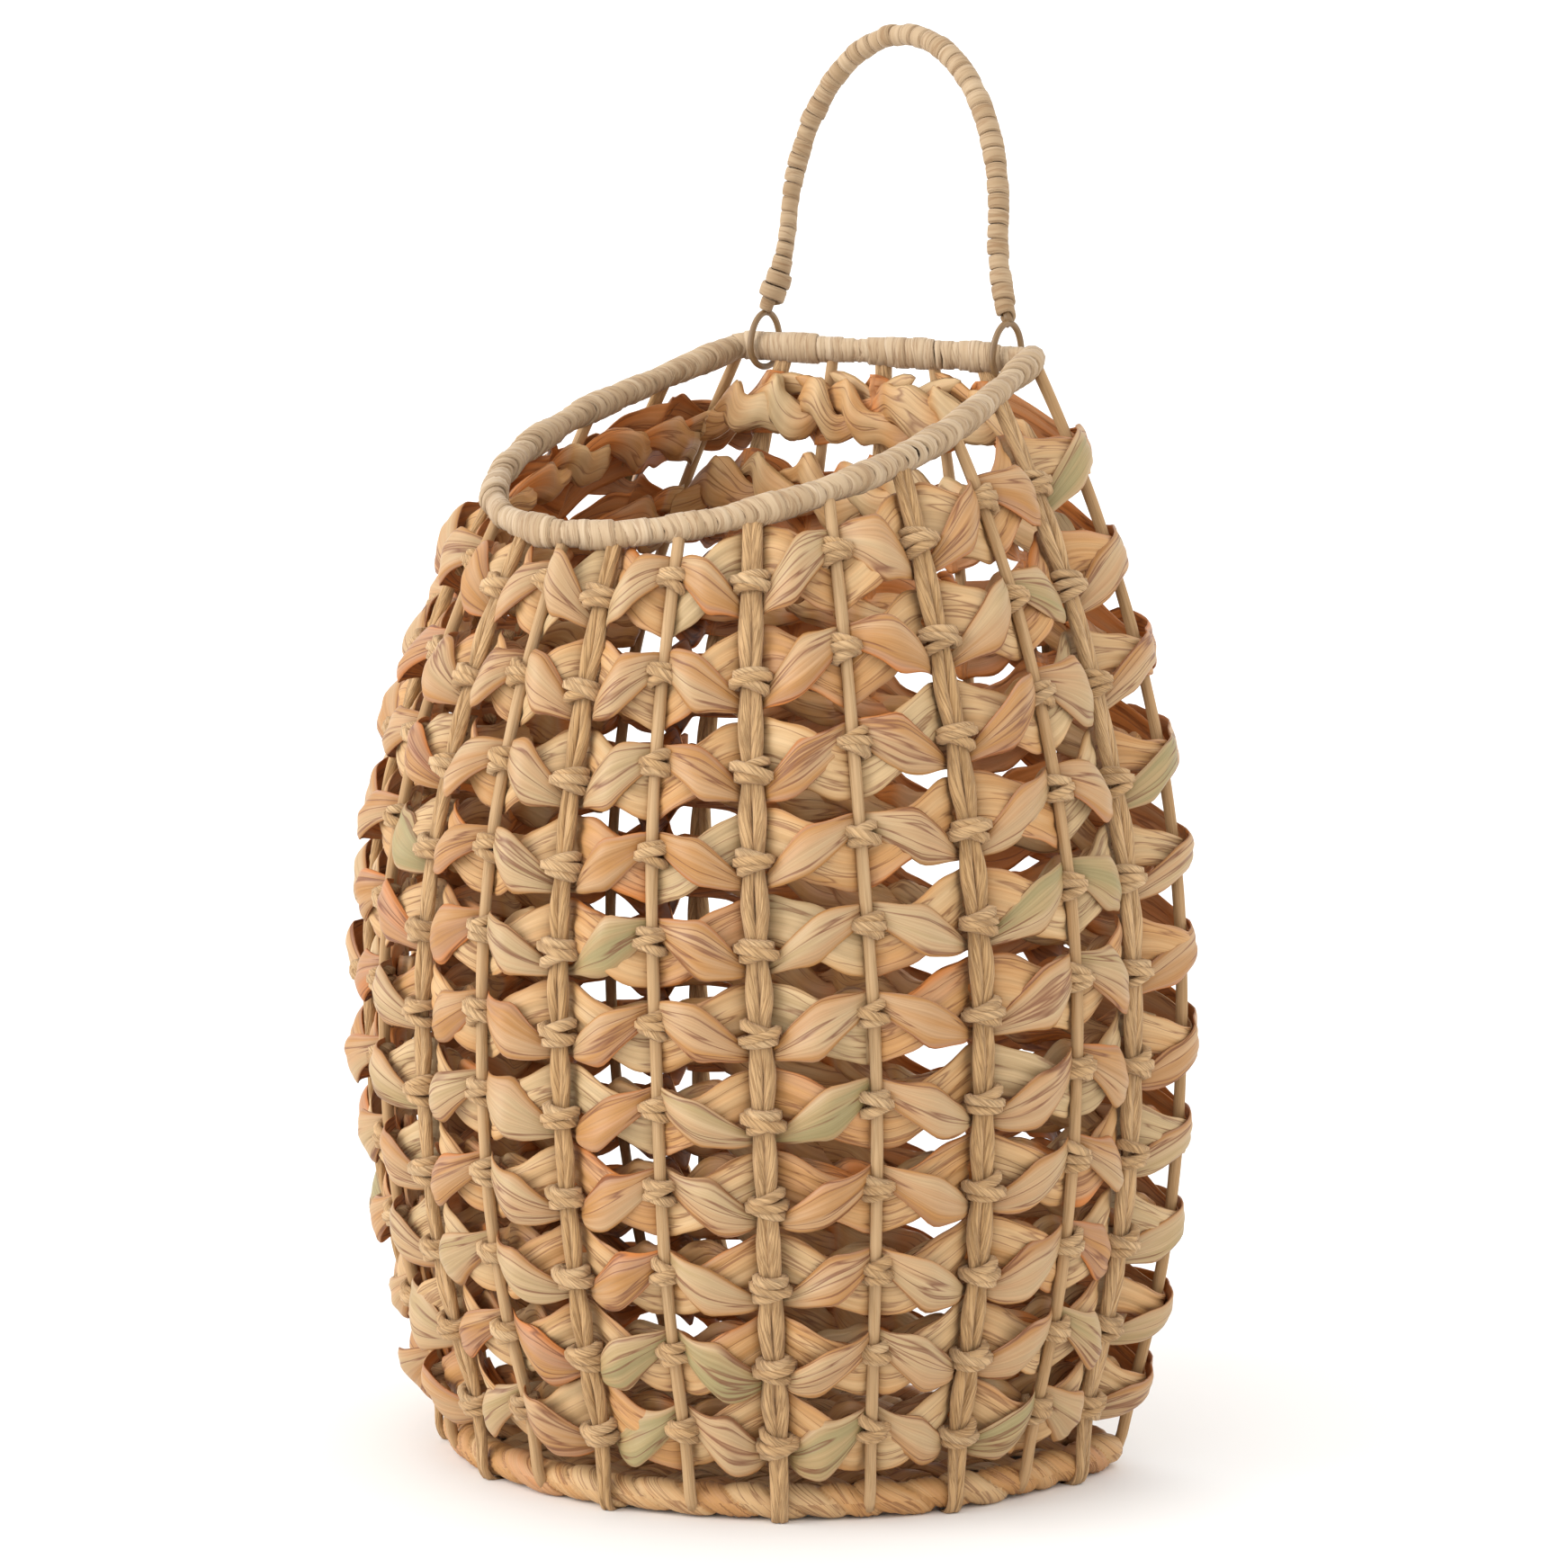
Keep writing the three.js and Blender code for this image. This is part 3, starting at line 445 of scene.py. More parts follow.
# Point = wall at (place, row height + swing + share * half height)
#         + out * (bulge + fold + pleats + curl - depth)
def leafStrand(row, leaf):
    count = wall["stakes"]
    place = np.arange(count * cellSteps) / cellSteps
    cell = place.astype(int)
    following = (cell + 1) % count
    part = place - cell
    vary = lambda key: luck.uniform(*leaf[key], count)[cell]
    atStake = lambda key: np.where(isCord, leaf[key + "Cord"], leaf[key + "Rod"])
    between = lambda values, share: values[cell] + (values[following] - values[cell]) * share
    tuck = atStake("tuck")
    free = np.clip((part - tuck[cell]) / (1 - tuck[cell] - tuck[following]), 0, 1)
    warp = free ** vary("warp")                          # the widest part is not always in the middle
    swell = np.sin(np.pi * warp)
    lens = (1 - leaf["angular"]) * swell ** leaf["point"] + leaf["angular"] * (1 - np.abs(2 * warp - 1))
    pinch = np.where(cell == besideCorner, cornerPinch, 1.0)
    pitch = rowPitch(row, place)
    tip = between(np.where(isCorner, cornerTip, atStake("tip")), free)
    rear = np.interp(place, rearPlaces, rearBreadth)
    if row == 0:
        rear = rear * lowBreadth
    if row in upperBreadth:
        rear = np.interp(place, upperPlaces, upperBreadth[row])
    widest = leaf["middle"] * pinch * vary("breadth")
    halfHigh = (pitch * rear * (tip + (widest - tip) * lens))[:, None]
    rounded = free + leaf["round"] * (ease(free) - free)
    swing = between(np.where(isCorner, cornerDraw, 1.0) * atStake("at"), rounded) + vary("drift") * swell
    middle = rowHeight(row, place) + pitch * swing * np.minimum(rear, 1)
    depthAt = np.where(isCord, wall["cordRadius"] + cordStandOff, wall["rodRadius"]) + leaf["gap"]
    depthAt = np.where(isCorner, -wall["rodRadius"] - leaf["gap"], depthAt)   # round outside a corner rod
    depth = between(depthAt + leaf["behind"], ease(free))
    # the section: the front face from the lower edge up, then the back face down again
    share = np.linspace(-1, 1, leaf["faceSteps"])
    share = np.concatenate([share, share[::-1]])
    front = np.repeat([1.0, 0.0], leaf["faceSteps"])
    edge = np.abs(share) ** leaf["edgePower"]
    ripple = np.sin(2 * np.pi * (leaf["ripples"] * part + vary("rippleStart"))[:, None] * np.sign(share))
    high = halfHigh * share * (1 + leaf["ripple"] * ripple * edge)
    z = middle[:, None] + high
    at = swell[:, None]
    curl = vary("curl")[:, None] * high * at
    ridge = leaf["fold"] * halfHigh * (1 - np.abs(share - vary("foldAt")[:, None])) * at
    fold = (vary("pleatStart") + vary("pleatTurn") * part)[:, None]
    wave = np.abs(np.sin(leaf["pleats"] * leaf["pleatWave"] * share + fold)) - leaf["pleatMiddle"]
    pleat = leaf["pleatDepth"] * wave * (1 - leaf["pleatFade"] * edge)
    push = leaf["bulge"] * pinch * vary("push") * swell ** leaf["bulgePower"] - depth
    body = leaf["thickness"] * (front - 0.5) * (1 - leaf["edgeThin"] * edge)
    away = push[:, None] + curl + ridge + pleat + body - leaf["edgeBack"] * edge * at
    around = np.broadcast_to(place[:, None], z.shape)
    points = soften(wallPoint(around, z) + wallWays(around, z)[2] * away[..., None], 1)
    odd, tone = vary("odd"), vary("tone")                # a few leaves are grey-green, a few pink
    green, tan, pink = (leaf[kind][0] + leaf[kind][1] * tone for kind in ("green", "tan", "pink"))
    tone = np.where(odd < leaf["greenBelow"], green, np.where(odd > leaf["pinkAbove"], pink, tan))
    tint = tone[:, None] + vary("tintAcross")[:, None] * share + (vary("tintAlong") * (2 * part - 1))[:, None]
    tint = tint + leaf["edgeTint"] * edge - leaf["lowTint"] * (1 - row / wall["rows"])
    # back faces get a browner, more saturated tint: partly the leaf's own colour, partly painted shade and
    # bounce light of the inside
    under = leaf["underShadeTint"] + leaf["underShare"] * (tint - leaf["underFrom"])
    tint = np.where(front > 0, tint, under)
    along = walked(points[:, 0])
    along = np.append(along, 2 * along[-1] - along[-2])
    wide = leaf["grainHalf"] * (np.append(share, share[0]) + 1)
    wide = wide + np.append(1 - front, 0) * leaf["grainBack"]
    grain = wide + (np.append(cell, count) * leaf["grainCell"])[:, None]
    return points[None], along, grain, tint


for row in rows:
    for kind, leaf, material in (("outer", outerLeaf, driedLeaf), ("inner", innerLeaf, foldedLeafPaintedLight)):
        points, along, grain, tint = leafStrand(row, leaf)
        addSurface(f"{kind}Leaf_{row + 1:02d}", points, material,
                   [f"leaf_{kind}_{row + 1:02d}"], closed=True, along=along, around=grain, tint=tint)
print("leaf rows made:", len(rows))

# Heights of the ties on each stake, a little higher on rods than on cords
tieRise = 2.3
tieHeight = rowHeight(rows[:, None], stakes[None, :].astype(float)) + np.where(isCord, -tieRise, tieRise)

# The base ring's middle line has rounded back corners, and each stake's foot stands where it is nearest
base = {"pitch": 14.5, "lap": 0.8, "lapPower": 3, "bulge": 2.3, "bulgePower": 0.5, "bulgeLeast": 0.6,
        "bulgeSpread": 0.6, "wrinkle": 0.35, "wrinkles": 5, "wrinkleWave": 6.28, "wrinkleLean": 2,
        "steps": 800, "sides": 30, "radius": 3.8, "core": 2.5, "slant": 0.42, "bend": 120, "height": 6.2,
        "drift": 0.25, "driftPasses": 12, "oddAbove": 0.85, "oddTint": 1.0, "tint": 0.45, "tintSpread": 0.45,
        "grainStep": 1.5}
denseStep, ringSteps, wireSteps, wireSides = 0.02, 900, 300, 10
dense = np.arange(0, wall["stakes"], denseStep)
baseLine = soften(evenPath(wallPoint(dense, base["height"]), ringSteps)[0], base["bend"])
fromFeet = wallPoint(stakes.astype(float), base["height"])[:, None] - baseLine[None]
feet = baseLine[np.argmin(np.linalg.norm(fromFeet, axis=2), axis=1)]


# A stake's middle line: an arc laid over the outside of the base ring, then up the wall to the rim's core
def stakeLine(stake, kind, hold):
    at = float(stake)
    top = rimPoint(at)[2]
    out = unit(wallWays(at, wall["baseRadius"])[2] * (rightward + backward))
    turn = np.radians(np.linspace(*kind["footTurn"], kind["footSteps"]))[:, None]
    foot = feet[stake] + hold * (np.cos(turn) * out + np.sin(turn) * upright)
    z = np.linspace(wall["baseRadius"] + kind["leave"], top, kind["wallSteps"])
    line = np.concatenate([foot, wallPoint(at, z)])
    line = soften(evenPath(line, kind["steps"], closed=False)[0], kind["passes"], closed=False)
    return line, wallWays(at, np.clip(line[:, 2], wall["baseRadius"], top))[0]


# Rods: a round section along the stake's line, a little wavy, with its end tucked into the base ring's leaf
rod = {"radius": 2.05, "steps": 80, "sides": 12, "leave": 26, "wallSteps": 60, "passes": 3,
       "footTurn": (-35, 35), "footSteps": 12, "baseHold": 7.6, "tuck": 3.5, "tuckPower": 3,
       "waver": 0.35, "waves": (23, 41), "uneven": 0.04, "unevenWave": 7, "tints": (0.25, 0.75)}
for number, stake in enumerate(stakes[~isCord]):
    hold = rod["baseHold"] - rod["tuck"] * np.linspace(1, 0, rod["footSteps"])[:, None] ** rod["tuckPower"]
    path, across = stakeLine(stake, rod, hold)
    z = path[:, 2]
    waver = rod["waver"] * sum(np.sin(z / wave + luck.uniform(*anyPhase)) for wave in rod["waves"])
    path = path + across * waver[:, None]
    side, lift = pathWays(path, np.cross(across, np.gradient(path, axis=0)), closed=False)
    thick = (rod["radius"] * (1 + rod["uneven"] * np.sin(z / rod["unevenWave"] + number)))[:, None]
    points = sweep(path, side, lift, thick, thick, rod["sides"])
    addSurface(f"rod_{number + 1:02d}", points[None], paperRod, [f"stake_rod_{number + 1:02d}"],
               tint=luck.uniform(*rod["tints"]))

# Cords: two strands side by side, drawn together at each tie, from the rim to a turn round the base ring.
# Section radius = radius * (1 + lobes of the lay that turn along the strand)
cord = {"radius": 2.3, "flat": 0.95, "steps": 190, "sides": 14, "leave": 24, "wallSteps": 130, "passes": 5,
        "footTurn": (-95, 25), "footSteps": 14, "baseHold": 8.0, "footSlim": (0.22, 0, 22),
        "least": 0.05, "apart": 2.15, "pinch": 0.75, "tied": 0.86, "lay": 80, "lobe": 0.07, "lobes": (3, 7),
        "lobeShare": 0.4, "drift": 0.5, "driftWave": 31, "bob": 0.5, "bobWave": 19, "slim": 0.84,
        "slimStakes": (1, 15, 17, 19, 21), "grainSide": 1.25, "grainLay": 17, "lastStep": 2,
        "tints": (0.25, 0.6)}
angle = circle(cord["sides"])[None]
for number, stake in enumerate(stakes[isCord]):
    line, across = stakeLine(stake, cord, cord["baseHold"])
    rowAt = np.interp(line[:, 2], tieHeight[:, stake], rows)
    held = np.sin(np.pi * rowAt) ** 2                    # 0 at a tie, 1 between two
    lift = unit(np.cross(across, forward(line, False)))
    far = np.cumsum(np.linalg.norm(np.gradient(line, axis=0), axis=1))
    girth = 1 - hump(far, *cord["footSlim"])             # slimmer at its foot
    if stake in cord["slimStakes"]:
        girth = cord["slim"] * girth
    strands, grains = [], []
    for sign in (-1, 1):
        drift = cord["drift"] * np.sin(far / cord["driftWave"] + luck.uniform(*anyPhase)) * held
        apart = sign * girth * (cord["apart"] - cord["pinch"] * (1 - held)) + drift
        bob = cord["bob"] * held * np.sin(far / cord["bobWave"] + 2 * sign)
        path = line + across * apart[:, None] + lift * bob[:, None]
        turn = (sign * 2 * np.pi * far / cord["lay"] + luck.uniform(*anyPhase))[:, None]
        few, many = cord["lobes"]
        lobes = np.cos(few * angle - turn) + cord["lobeShare"] * np.cos(many * angle - 2 * turn)
        lobes = 1 + cord["lobe"] * lobes
        radius = cord["radius"] * (girth * (cord["tied"] + (1 - cord["tied"]) * held))[:, None] * lobes
        strands.append(sweep(path, across, lift, radius, radius * cord["flat"], cord["sides"]))
        layFar = sign * cord["grainLay"] * np.append(far, far[-1]) / cord["lay"]
        grains.append(np.arange(cord["sides"] + 1)[None] * cord["grainSide"] + layFar[:, None])
    points = np.stack(strands)
    points[..., 2] = np.maximum(points[..., 2], cord["least"])   # squashed where it goes under the ring
    addSurface(f"cord_{number + 1:02d}", points, paperTwine, [f"stake_cord_{number + 1:02d}"],
               along=np.append(far, far[-1] + cord["lastStep"]), around=np.stack(grains),
               tint=luck.uniform(*cord["tints"]))
print("stakes made:", len(stakes))

# Ties: three strands of twine crossing in front of the stake, their ends drawn in behind it.
# Strand = across * reach * cos + out * half depth * sin + up * (height + slant * cos)
tie = {"strand": 2.05, "flat": 0.95, "reachRod": 4.7, "reachCord": 5.8, "reachSpread": (0.95, 1.12),
       "ends": 0.7, "slant": 1.5, "slantSpread": (0.6, 1.3), "slants": (1, -1, 0.25), "apart": 2.1,
       "shift": (-0.5, 0.5), "levels": (-1.0, 0.0, 1.0), "rings": 9, "sides": 5, "back": 3.4, "proud": 1.2,
       "round": 0.2, "thickness": (0.85, 1.1), "tints": (0.35, 0.85), "grainStep": 3.0, "grainSide": 2.6,
       "grainSkew": 0.9}
turn = np.linspace(-tie["ends"], np.pi + tie["ends"], tie["rings"])[None, None]
along = np.arange(tie["rings"] + 1) * tie["grainStep"]
skew = np.arange(tie["sides"] + 1)[None, None] * tie["grainSide"] + along[None, :, None] * tie["grainSkew"]
for stake in stakes[~isCorner]:
    z = tieHeight[:, stake]
    kind = "Cord" if isCord[stake] else "Rod"
    across, up, out = (way[:, None, None, :] for way in wallWays(float(stake), z))
    roll = lambda key: luck.uniform(*tie[key], (len(rows), 3, 1))
    level = luck.permuted(np.tile(tie["levels"], (len(rows), 1)), axis=1)[..., None]
    ball = tie["round"] * np.abs(level)                  # the outer strands are smaller, as on a ball
    reach = tie["reach" + kind] * (1 - ball) * roll("reachSpread")
    way = luck.choice([-1.0, 1.0], (len(rows), 1, 1)) * np.array(tie["slants"])[None, :, None]
    height = tie["apart"] * level + roll("shift")
    fore = wall[kind.lower() + "Radius"] + tie["strand"] * (tie["proud"] - 2 * ball)
    half, middle = (fore + tie["back"]) / 2, (fore - tie["back"]) / 2
    path = (wallPoint(float(stake), z)[:, None, None] + across * (reach * np.cos(turn))[..., None]
            + out * (middle + half * np.sin(turn))[..., None]
            + up * (height + tie["slant"] * roll("slantSpread") * way * np.cos(turn))[..., None])
    path = path.reshape(-1, tie["rings"], 3)
    side, lift = pathWays(path, np.repeat(up[:, 0], 3, 0), closed=False)
    thick = tie["strand"] * luck.uniform(*tie["thickness"], (len(path), 1))
    points = sweep(path, side, lift, thick * tie["flat"], thick, tie["sides"])
    addSurface(f"tie_{stake + 1:02d}", points, paperTwine, along=along, around=skew,
               tint=luck.uniform(*tie["tints"], (len(path), 1, 1)))
print("ties made:", np.sum(~isCorner) * len(rows))

# Twists: two strips of leaf turned round each other behind each row, seen from inside.
# Strip = wall at (place, row height + swing * sin) - out * (depth + sway * cos), with a lobed oval section
# that is fuller where it comes to the front. Under the bar they grow thicker, and some lie higher on the far
# side by a lift: humps as height, middle and spread.
twist = {"swing": 3.8, "sway": 2.4, "high": 4.6, "deep": 2.1, "full": 0.35, "turns": 15, "sides": 14,
         "depth": 7.4, "lobe": 0.15, "lobes": (3, 5), "lobeTurns": (1.5, -2), "lobeShare": 0.8,
         "lift": {9: (8.0, 13.5, 5.0), 10: (11.0, 16.5, 2.4)}, "grow": (0.4, 11.5, 4),
         "unevenTurn": 0.8, "unevenSwing": 0.6, "unevenSize": 0.3, "perCell": 3, "passes": 8,
         "tint": 1.0, "barLitTint": 0.6, "barSpan": 3.5, "behindShadeTurn": 0.3, "tintSpread": 0.45}
place = np.arange(wall["stakes"] * cellSteps) / cellSteps
angle = circle(twist["sides"])[None]
fromBack = np.abs(place - wall["stakes"] / 2)
uneven = lambda: soften(np.repeat(luck.uniform(-1, 1, twist["perCell"] * wall["stakes"]),
                                  cellSteps // twist["perCell"]), twist["passes"])
for row in rows:
    strips, shades = [], []
    underBar = row >= rows[-2]
    thicker = 1 + hump(place, *twist["grow"]) * underBar
    for half in (0, 1):
        turn = 2 * np.pi * place / wall["stakes"] * twist["turns"] + np.pi * half
        turn = turn + twist["unevenTurn"] * uneven()
        z = rowHeight(row, place) + twist["swing"] * thicker * (np.sin(turn) + twist["unevenSwing"] * uneven())
        if row in twist["lift"]:
            z = z + hump(place, *twist["lift"][row])
        _, up, out = wallWays(place, z)
        path = wallPoint(place, z) - out * (twist["depth"] + twist["sway"] * np.cos(turn))[:, None]
        first, second = (np.sin(count * angle + speed * turn[:, None])
                         for count, speed in zip(twist["lobes"], twist["lobeTurns"]))
        lobes = 1 + twist["lobe"] * (first + twist["lobeShare"] * second)
        full = 1 + twist["full"] * np.cos(turn)
        high, deep = (twist[size] * full * (1 + twist["unevenSize"] * uneven()) for size in ("high", "deep"))
        high, deep = (thicker * high)[:, None] * lobes, deep[:, None] * lobes
        strips.append(sweep(path, up, out, high, deep, twist["sides"]))
        # painted light and shade: each strip is paler where it turns to the front and browner where it passes
        # behind the other; the back of the top rows under the bar is paler, as if lit through the mouth, and
        # all else browner, as if in the basket's shade
        shade = np.where(underBar & (fromBack < twist["barSpan"]), twist["barLitTint"], twist["tint"])
        shades.append((shade - twist["behindShadeTurn"] * np.cos(turn) + twist["tintSpread"] * uneven())[:, None])
    points = soften(np.stack(strips, 1), 1).transpose(1, 0, 2, 3)
    addSurface(f"twist_{row + 1:02d}", points, foldedLeafPaintedLight, closed=True, tint=np.stack(shades))

# Loose leaf ends over the top row of the back, under the bar, each a flat spindle:
# x * long * cos(down) + (up * high * cos(about) + in * deep * sin(about)) * sin(down)
loose = {"x": (-42, -28, -11, 8, 26, 40), "under": 12.6, "inside": 3.0, "long": 13.0, "high": 5.4, "deep": 1.3,
         "tilt": 0.5, "yaw": 0.12, "blunt": 0.2, "point": 1.5, "rings": 7, "sides": 8,
         "longSpread": (0.8, 1.1), "highSpread": (0.7, 1.1), "shift": (-2, 1.5), "tints": (0.2, 0.9)}
roll = lambda low, high: luck.uniform(low, high, (len(loose["x"]), 1, 1))
down = np.linspace(loose["blunt"], np.pi - loose["blunt"], loose["rings"])[None, :, None]
about = circle(loose["sides"])[None, None]
long = loose["long"] * roll(*loose["longSpread"]) * np.cos(down) + 0 * about
rise = long * loose["tilt"] * roll(-1, 1)
rise = rise + loose["high"] * roll(*loose["highSpread"]) * np.sin(down) ** loose["point"] * np.cos(about)
inward = loose["inside"] + loose["deep"] * np.sin(down) * np.sin(about) + loose["yaw"] * roll(-1, 1) * long
points = np.stack([np.array(loose["x"])[:, None, None] + long, wall["backPlane"] - inward,
                   wall["backHeight"] - loose["under"] + roll(*loose["shift"]) + rise], -1)
addSurface("looseLeaf", points, foldedLeafPaintedLight, tint=roll(*loose["tints"]))
print("twists made:", len(rows))


# A flat strand wound round a path: centre + reach * (side * cos + lift * sin), one turn each pitch, leaning
# along it by lean * cos. Width and tint take other turns' random values than the reach.
def addWinding(name, stand, body, kind, centre, guide, perTurn, swollen, narrow, closed):
    turn = 2 * np.pi * np.arange(len(centre)) / kind["steps"]
    side, lift = pathWays(centre, guide, closed)
    radial = side * np.cos(turn)[:, None] + lift * np.sin(turn)[:, None]
    reach = kind["reach"] + kind["uneven"] * perTurn + swollen
    lean = unit(np.cross(lift, side)) * (kind["twineLean"] * np.cos(turn))[:, None]
    path = centre + radial * reach[:, None] + lean
    across = unit(np.cross(forward(path, closed), radial))
    other = lambda key: kind[key + "Spread"] * np.roll(perTurn, kind[key + "Shift"])
    width = kind["twine"] * (1 + other("width")) * narrow
    depth = kind["depth"] * (1 + kind["depthSpread"] * perTurn)
    points = sweep(path, across, radial, width[:, None], depth[:, None], kind["sides"], kind["square"])
    addSurface(name, points[None], paperTape, [stand], body, closed,
               tint=(kind["tint"] + other("tint"))[:, None])


# A value for each turn of a winding, softened from one turn to the next
def byTurn(values, kind, passes):
    return soften(np.repeat(values, kind["steps"]), passes)


# Wires of round section along one or more paths
def addWires(name, paths, guide, radius, stands=(), body="basket", closed=True):
    side, lift = pathWays(paths, guide, closed)
    points = sweep(paths, side, lift, radius, radius, wireSides)
    addSurface(name, points, lacqueredWire, stands, body, closed)


# Rim: a wire bent to a D, wound with twine all round
rim = {"reach": 3.9, "pitch": 4.4, "steps": 16, "sides": 8, "square": 0.6, "twine": 2.6, "depth": 0.8,
       "core": 2.2, "bend": 60, "twineLean": 4.0, "uneven": 0.18, "unevenPasses": 5, "swell": 1.3,
       "swellPasses": 300, "widthSpread": 0.2, "widthShift": 40, "depthSpread": 0, "gaps": 0.07,
       "gapWidth": 0.4, "gapPasses": 6, "tint": 0.62, "tintSpread": 0.16, "tintShift": 90}
rimLine = soften(evenPath(rimPoint(dense), ringSteps)[0], rim["bend"])
turns = int(round(evenPath(rimLine, 2)[1] / rim["pitch"]))
tilt = np.radians(wall["rimTilt"])
rimNormal = np.array([0, -np.sin(tilt), np.cos(tilt)])
perTurn = byTurn(luck.uniform(-1, 1, turns), rim, rim["unevenPasses"])
swollen = rim["swell"] * byTurn(luck.uniform(-1, 1, turns), rim, rim["swellPasses"])
gaps = byTurn((luck.uniform(0, 1, turns) < rim["gaps"]).astype(float), rim, rim["gapPasses"])
narrow = 1 - rim["gapWidth"] * gaps                      # a few turns leave a dark gap
addWinding("rimTwine", "rim_wrap", "basket", rim, evenPath(rimLine, turns * rim["steps"])[0], rimNormal,
           perTurn, swollen, narrow, True)
addWires("rimWire", evenPath(rimLine, wireSteps)[0][None], rimNormal, rim["core"], ["rim_wire"])

# Base ring: broad leaf wound round a wire, each wrap lapping over the last and bulging between its edges.
# Radius = base + lap * (share of the wrap) + bulge of the wrap + wrinkles across it
centre, baseLength = evenPath(baseLine, base["steps"])
side, lift = pathWays(centre, upright)
wraps = int(round(baseLength / base["pitch"]))
angle = circle(base["sides"])
steps = np.arange(base["steps"])
drift = np.append(luck.uniform(-base["drift"], base["drift"], wraps), 0)
drift = soften(np.interp(steps, np.linspace(0, base["steps"], wraps + 1), drift), base["driftPasses"])
phase = (steps * wraps / base["steps"] + drift)[:, None] + base["slant"] * np.sin(angle)[None]
wrap = np.floor(phase).astype(int) % wraps
part = phase - np.floor(phase)
odd, creased, fat = (values[wrap] for values in luck.uniform(0, 1, (3, wraps)))
wrinkles = base["wrinkleWave"] * (base["wrinkles"] * part + odd) + base["wrinkleLean"] * np.sin(angle)
wrinkles = np.sin(wrinkles) * creased
bulge = base["bulge"] * np.sin(np.pi * part) ** base["bulgePower"]
bulge = bulge * (base["bulgeLeast"] + base["bulgeSpread"] * fat)
radius = base["radius"] + base["lap"] * part ** base["lapPower"] + bulge + base["wrinkle"] * wrinkles
points = sweep(centre, side, lift, radius, radius, base["sides"])
points[..., 2] = np.maximum(points[..., 2], 0.0)
shade = np.where(odd > base["oddAbove"], base["oddTint"], base["tint"] + base["tintSpread"] * creased)
acrossWrap = np.pad(phase, ((0, 1), (0, 1)), mode="wrap") * base["pitch"]
acrossWrap[-1] += wraps * base["pitch"]
addSurface("baseLeaf", points[None], foldedLeafPaintedLight, ["base_wrap"], closed=True, tint=shade[None],
           along=(np.arange(base["sides"] + 1) * base["grainStep"])[None, None], around=acrossWrap[None])
addWires("baseWire", evenPath(baseLine, wireSteps)[0][None], upright, base["core"], ["base_wire"])
print("rim and base ring made:", turns, "turns,", wraps, "wraps")

# Floor: flat leaf strips plaited over and under, each a thin section carried straight across the D
mat = {"strip": 13.0, "gap": 0.8, "thickness": 1.0, "top": 0.6, "steps": 90, "inset": 1.0, "start": 1,
       "leastReach": 15, "leastSteps": 20, "halfCount": 8, "outlineSteps": 200, "ySteps": 400,
       "tints": (0.2, 0.9), "wireSteps": 24, "wireSides": 12}
onWall = lambda box: (np.array(corner) * perMetre - axisShift for corner in box)
floorLow, floorHigh = onWall(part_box("floor_mat"))
floorMiddle = (floorLow[2] + floorHigh[2]) / 2
rise = (floorHigh[2] - floorLow[2] - mat["thickness"]) / 2
halfStrip = mat["strip"] / 2
outline = wallPoint(np.linspace(0, wall["cornerStake"], mat["outlineSteps"]), floorMiddle)
halfAt = lambda y: np.interp(y, outline[:, 1], outline[:, 0]) - wall["baseRadius"] - mat["inset"]
section = np.array([[-1, -1], [-mat["top"], 1], [mat["top"], 1], [1, -1]])
section = section * [halfStrip - mat["gap"], mat["thickness"] / 2]
share = np.linspace(-1, 1, mat["steps"])
# over and under in turn, each strip the other way than the last
plait = lambda far, strips: (rise * np.cos(np.pi * far / mat["strip"])
                             * np.where(np.arange(len(strips)) % 2, 1, -1)[:, None])
stripY = np.arange(floorLow[1] + halfStrip + mat["start"], floorHigh[1] - halfStrip, mat["strip"])
reachX = np.minimum(halfAt(stripY - halfStrip), halfAt(stripY + halfStrip))
stripY, reachX = (values[reachX > mat["leastReach"]] for values in (stripY, reachX))
x = reachX[:, None] * share
pathX = np.stack([x, stripY[:, None] + 0 * x, floorMiddle + plait(x, stripY)], -1)
stripX = np.arange(-mat["halfCount"], mat["halfCount"] + 1) * mat["strip"]
ys = np.linspace(floorLow[1], floorHigh[1], mat["ySteps"])
inside = halfAt(ys)[None] > np.abs(stripX)[:, None] + halfStrip
kept = inside.sum(1) > mat["leastSteps"]
stripX, inside = stripX[kept], inside[kept]
nearY, farY = (np.array([end(ys[within]) for within in inside])[:, None] for end in (np.min, np.max))
y = nearY + (farY - nearY) * (share + 1) / 2
pathY = np.stack([stripX[:, None] + 0 * y, y, floorMiddle + plait(y - stripY[0], stripX)], -1)
stripsX, stripsY = (path[:, :, None] + section[:, :1] * way + section[:, 1:] * upright
                    for path, way in ((pathX, backward), (pathY, rightward)))
points = np.concatenate([stripsX, stripsY[:, :, ::-1]])  # the crossing strips run the other way round
addSurface("floorMat", points, foldedLeafPaintedLight, ["floor_mat"],
           tint=luck.uniform(*mat["tints"], (len(points), 1, 1)))
for number in (1, 2, 3):
    low, high = onWall(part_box(f"floor_wire_{number:02d}"))
    middle, radius = (low + high) / 2, (high[2] - low[2]) / 2
    path = np.linspace([low[0], middle[1], middle[2]], [high[0], middle[1], middle[2]], mat["wireSteps"])
    points = sweep(path, backward, upright, radius, radius, mat["wireSides"])
    addSurface(f"floorWire_{number}", points[None], lacqueredWire, [f"floor_wire_{number:02d}"])
print("floor made:", len(stripX) + len(stripY), "strips")

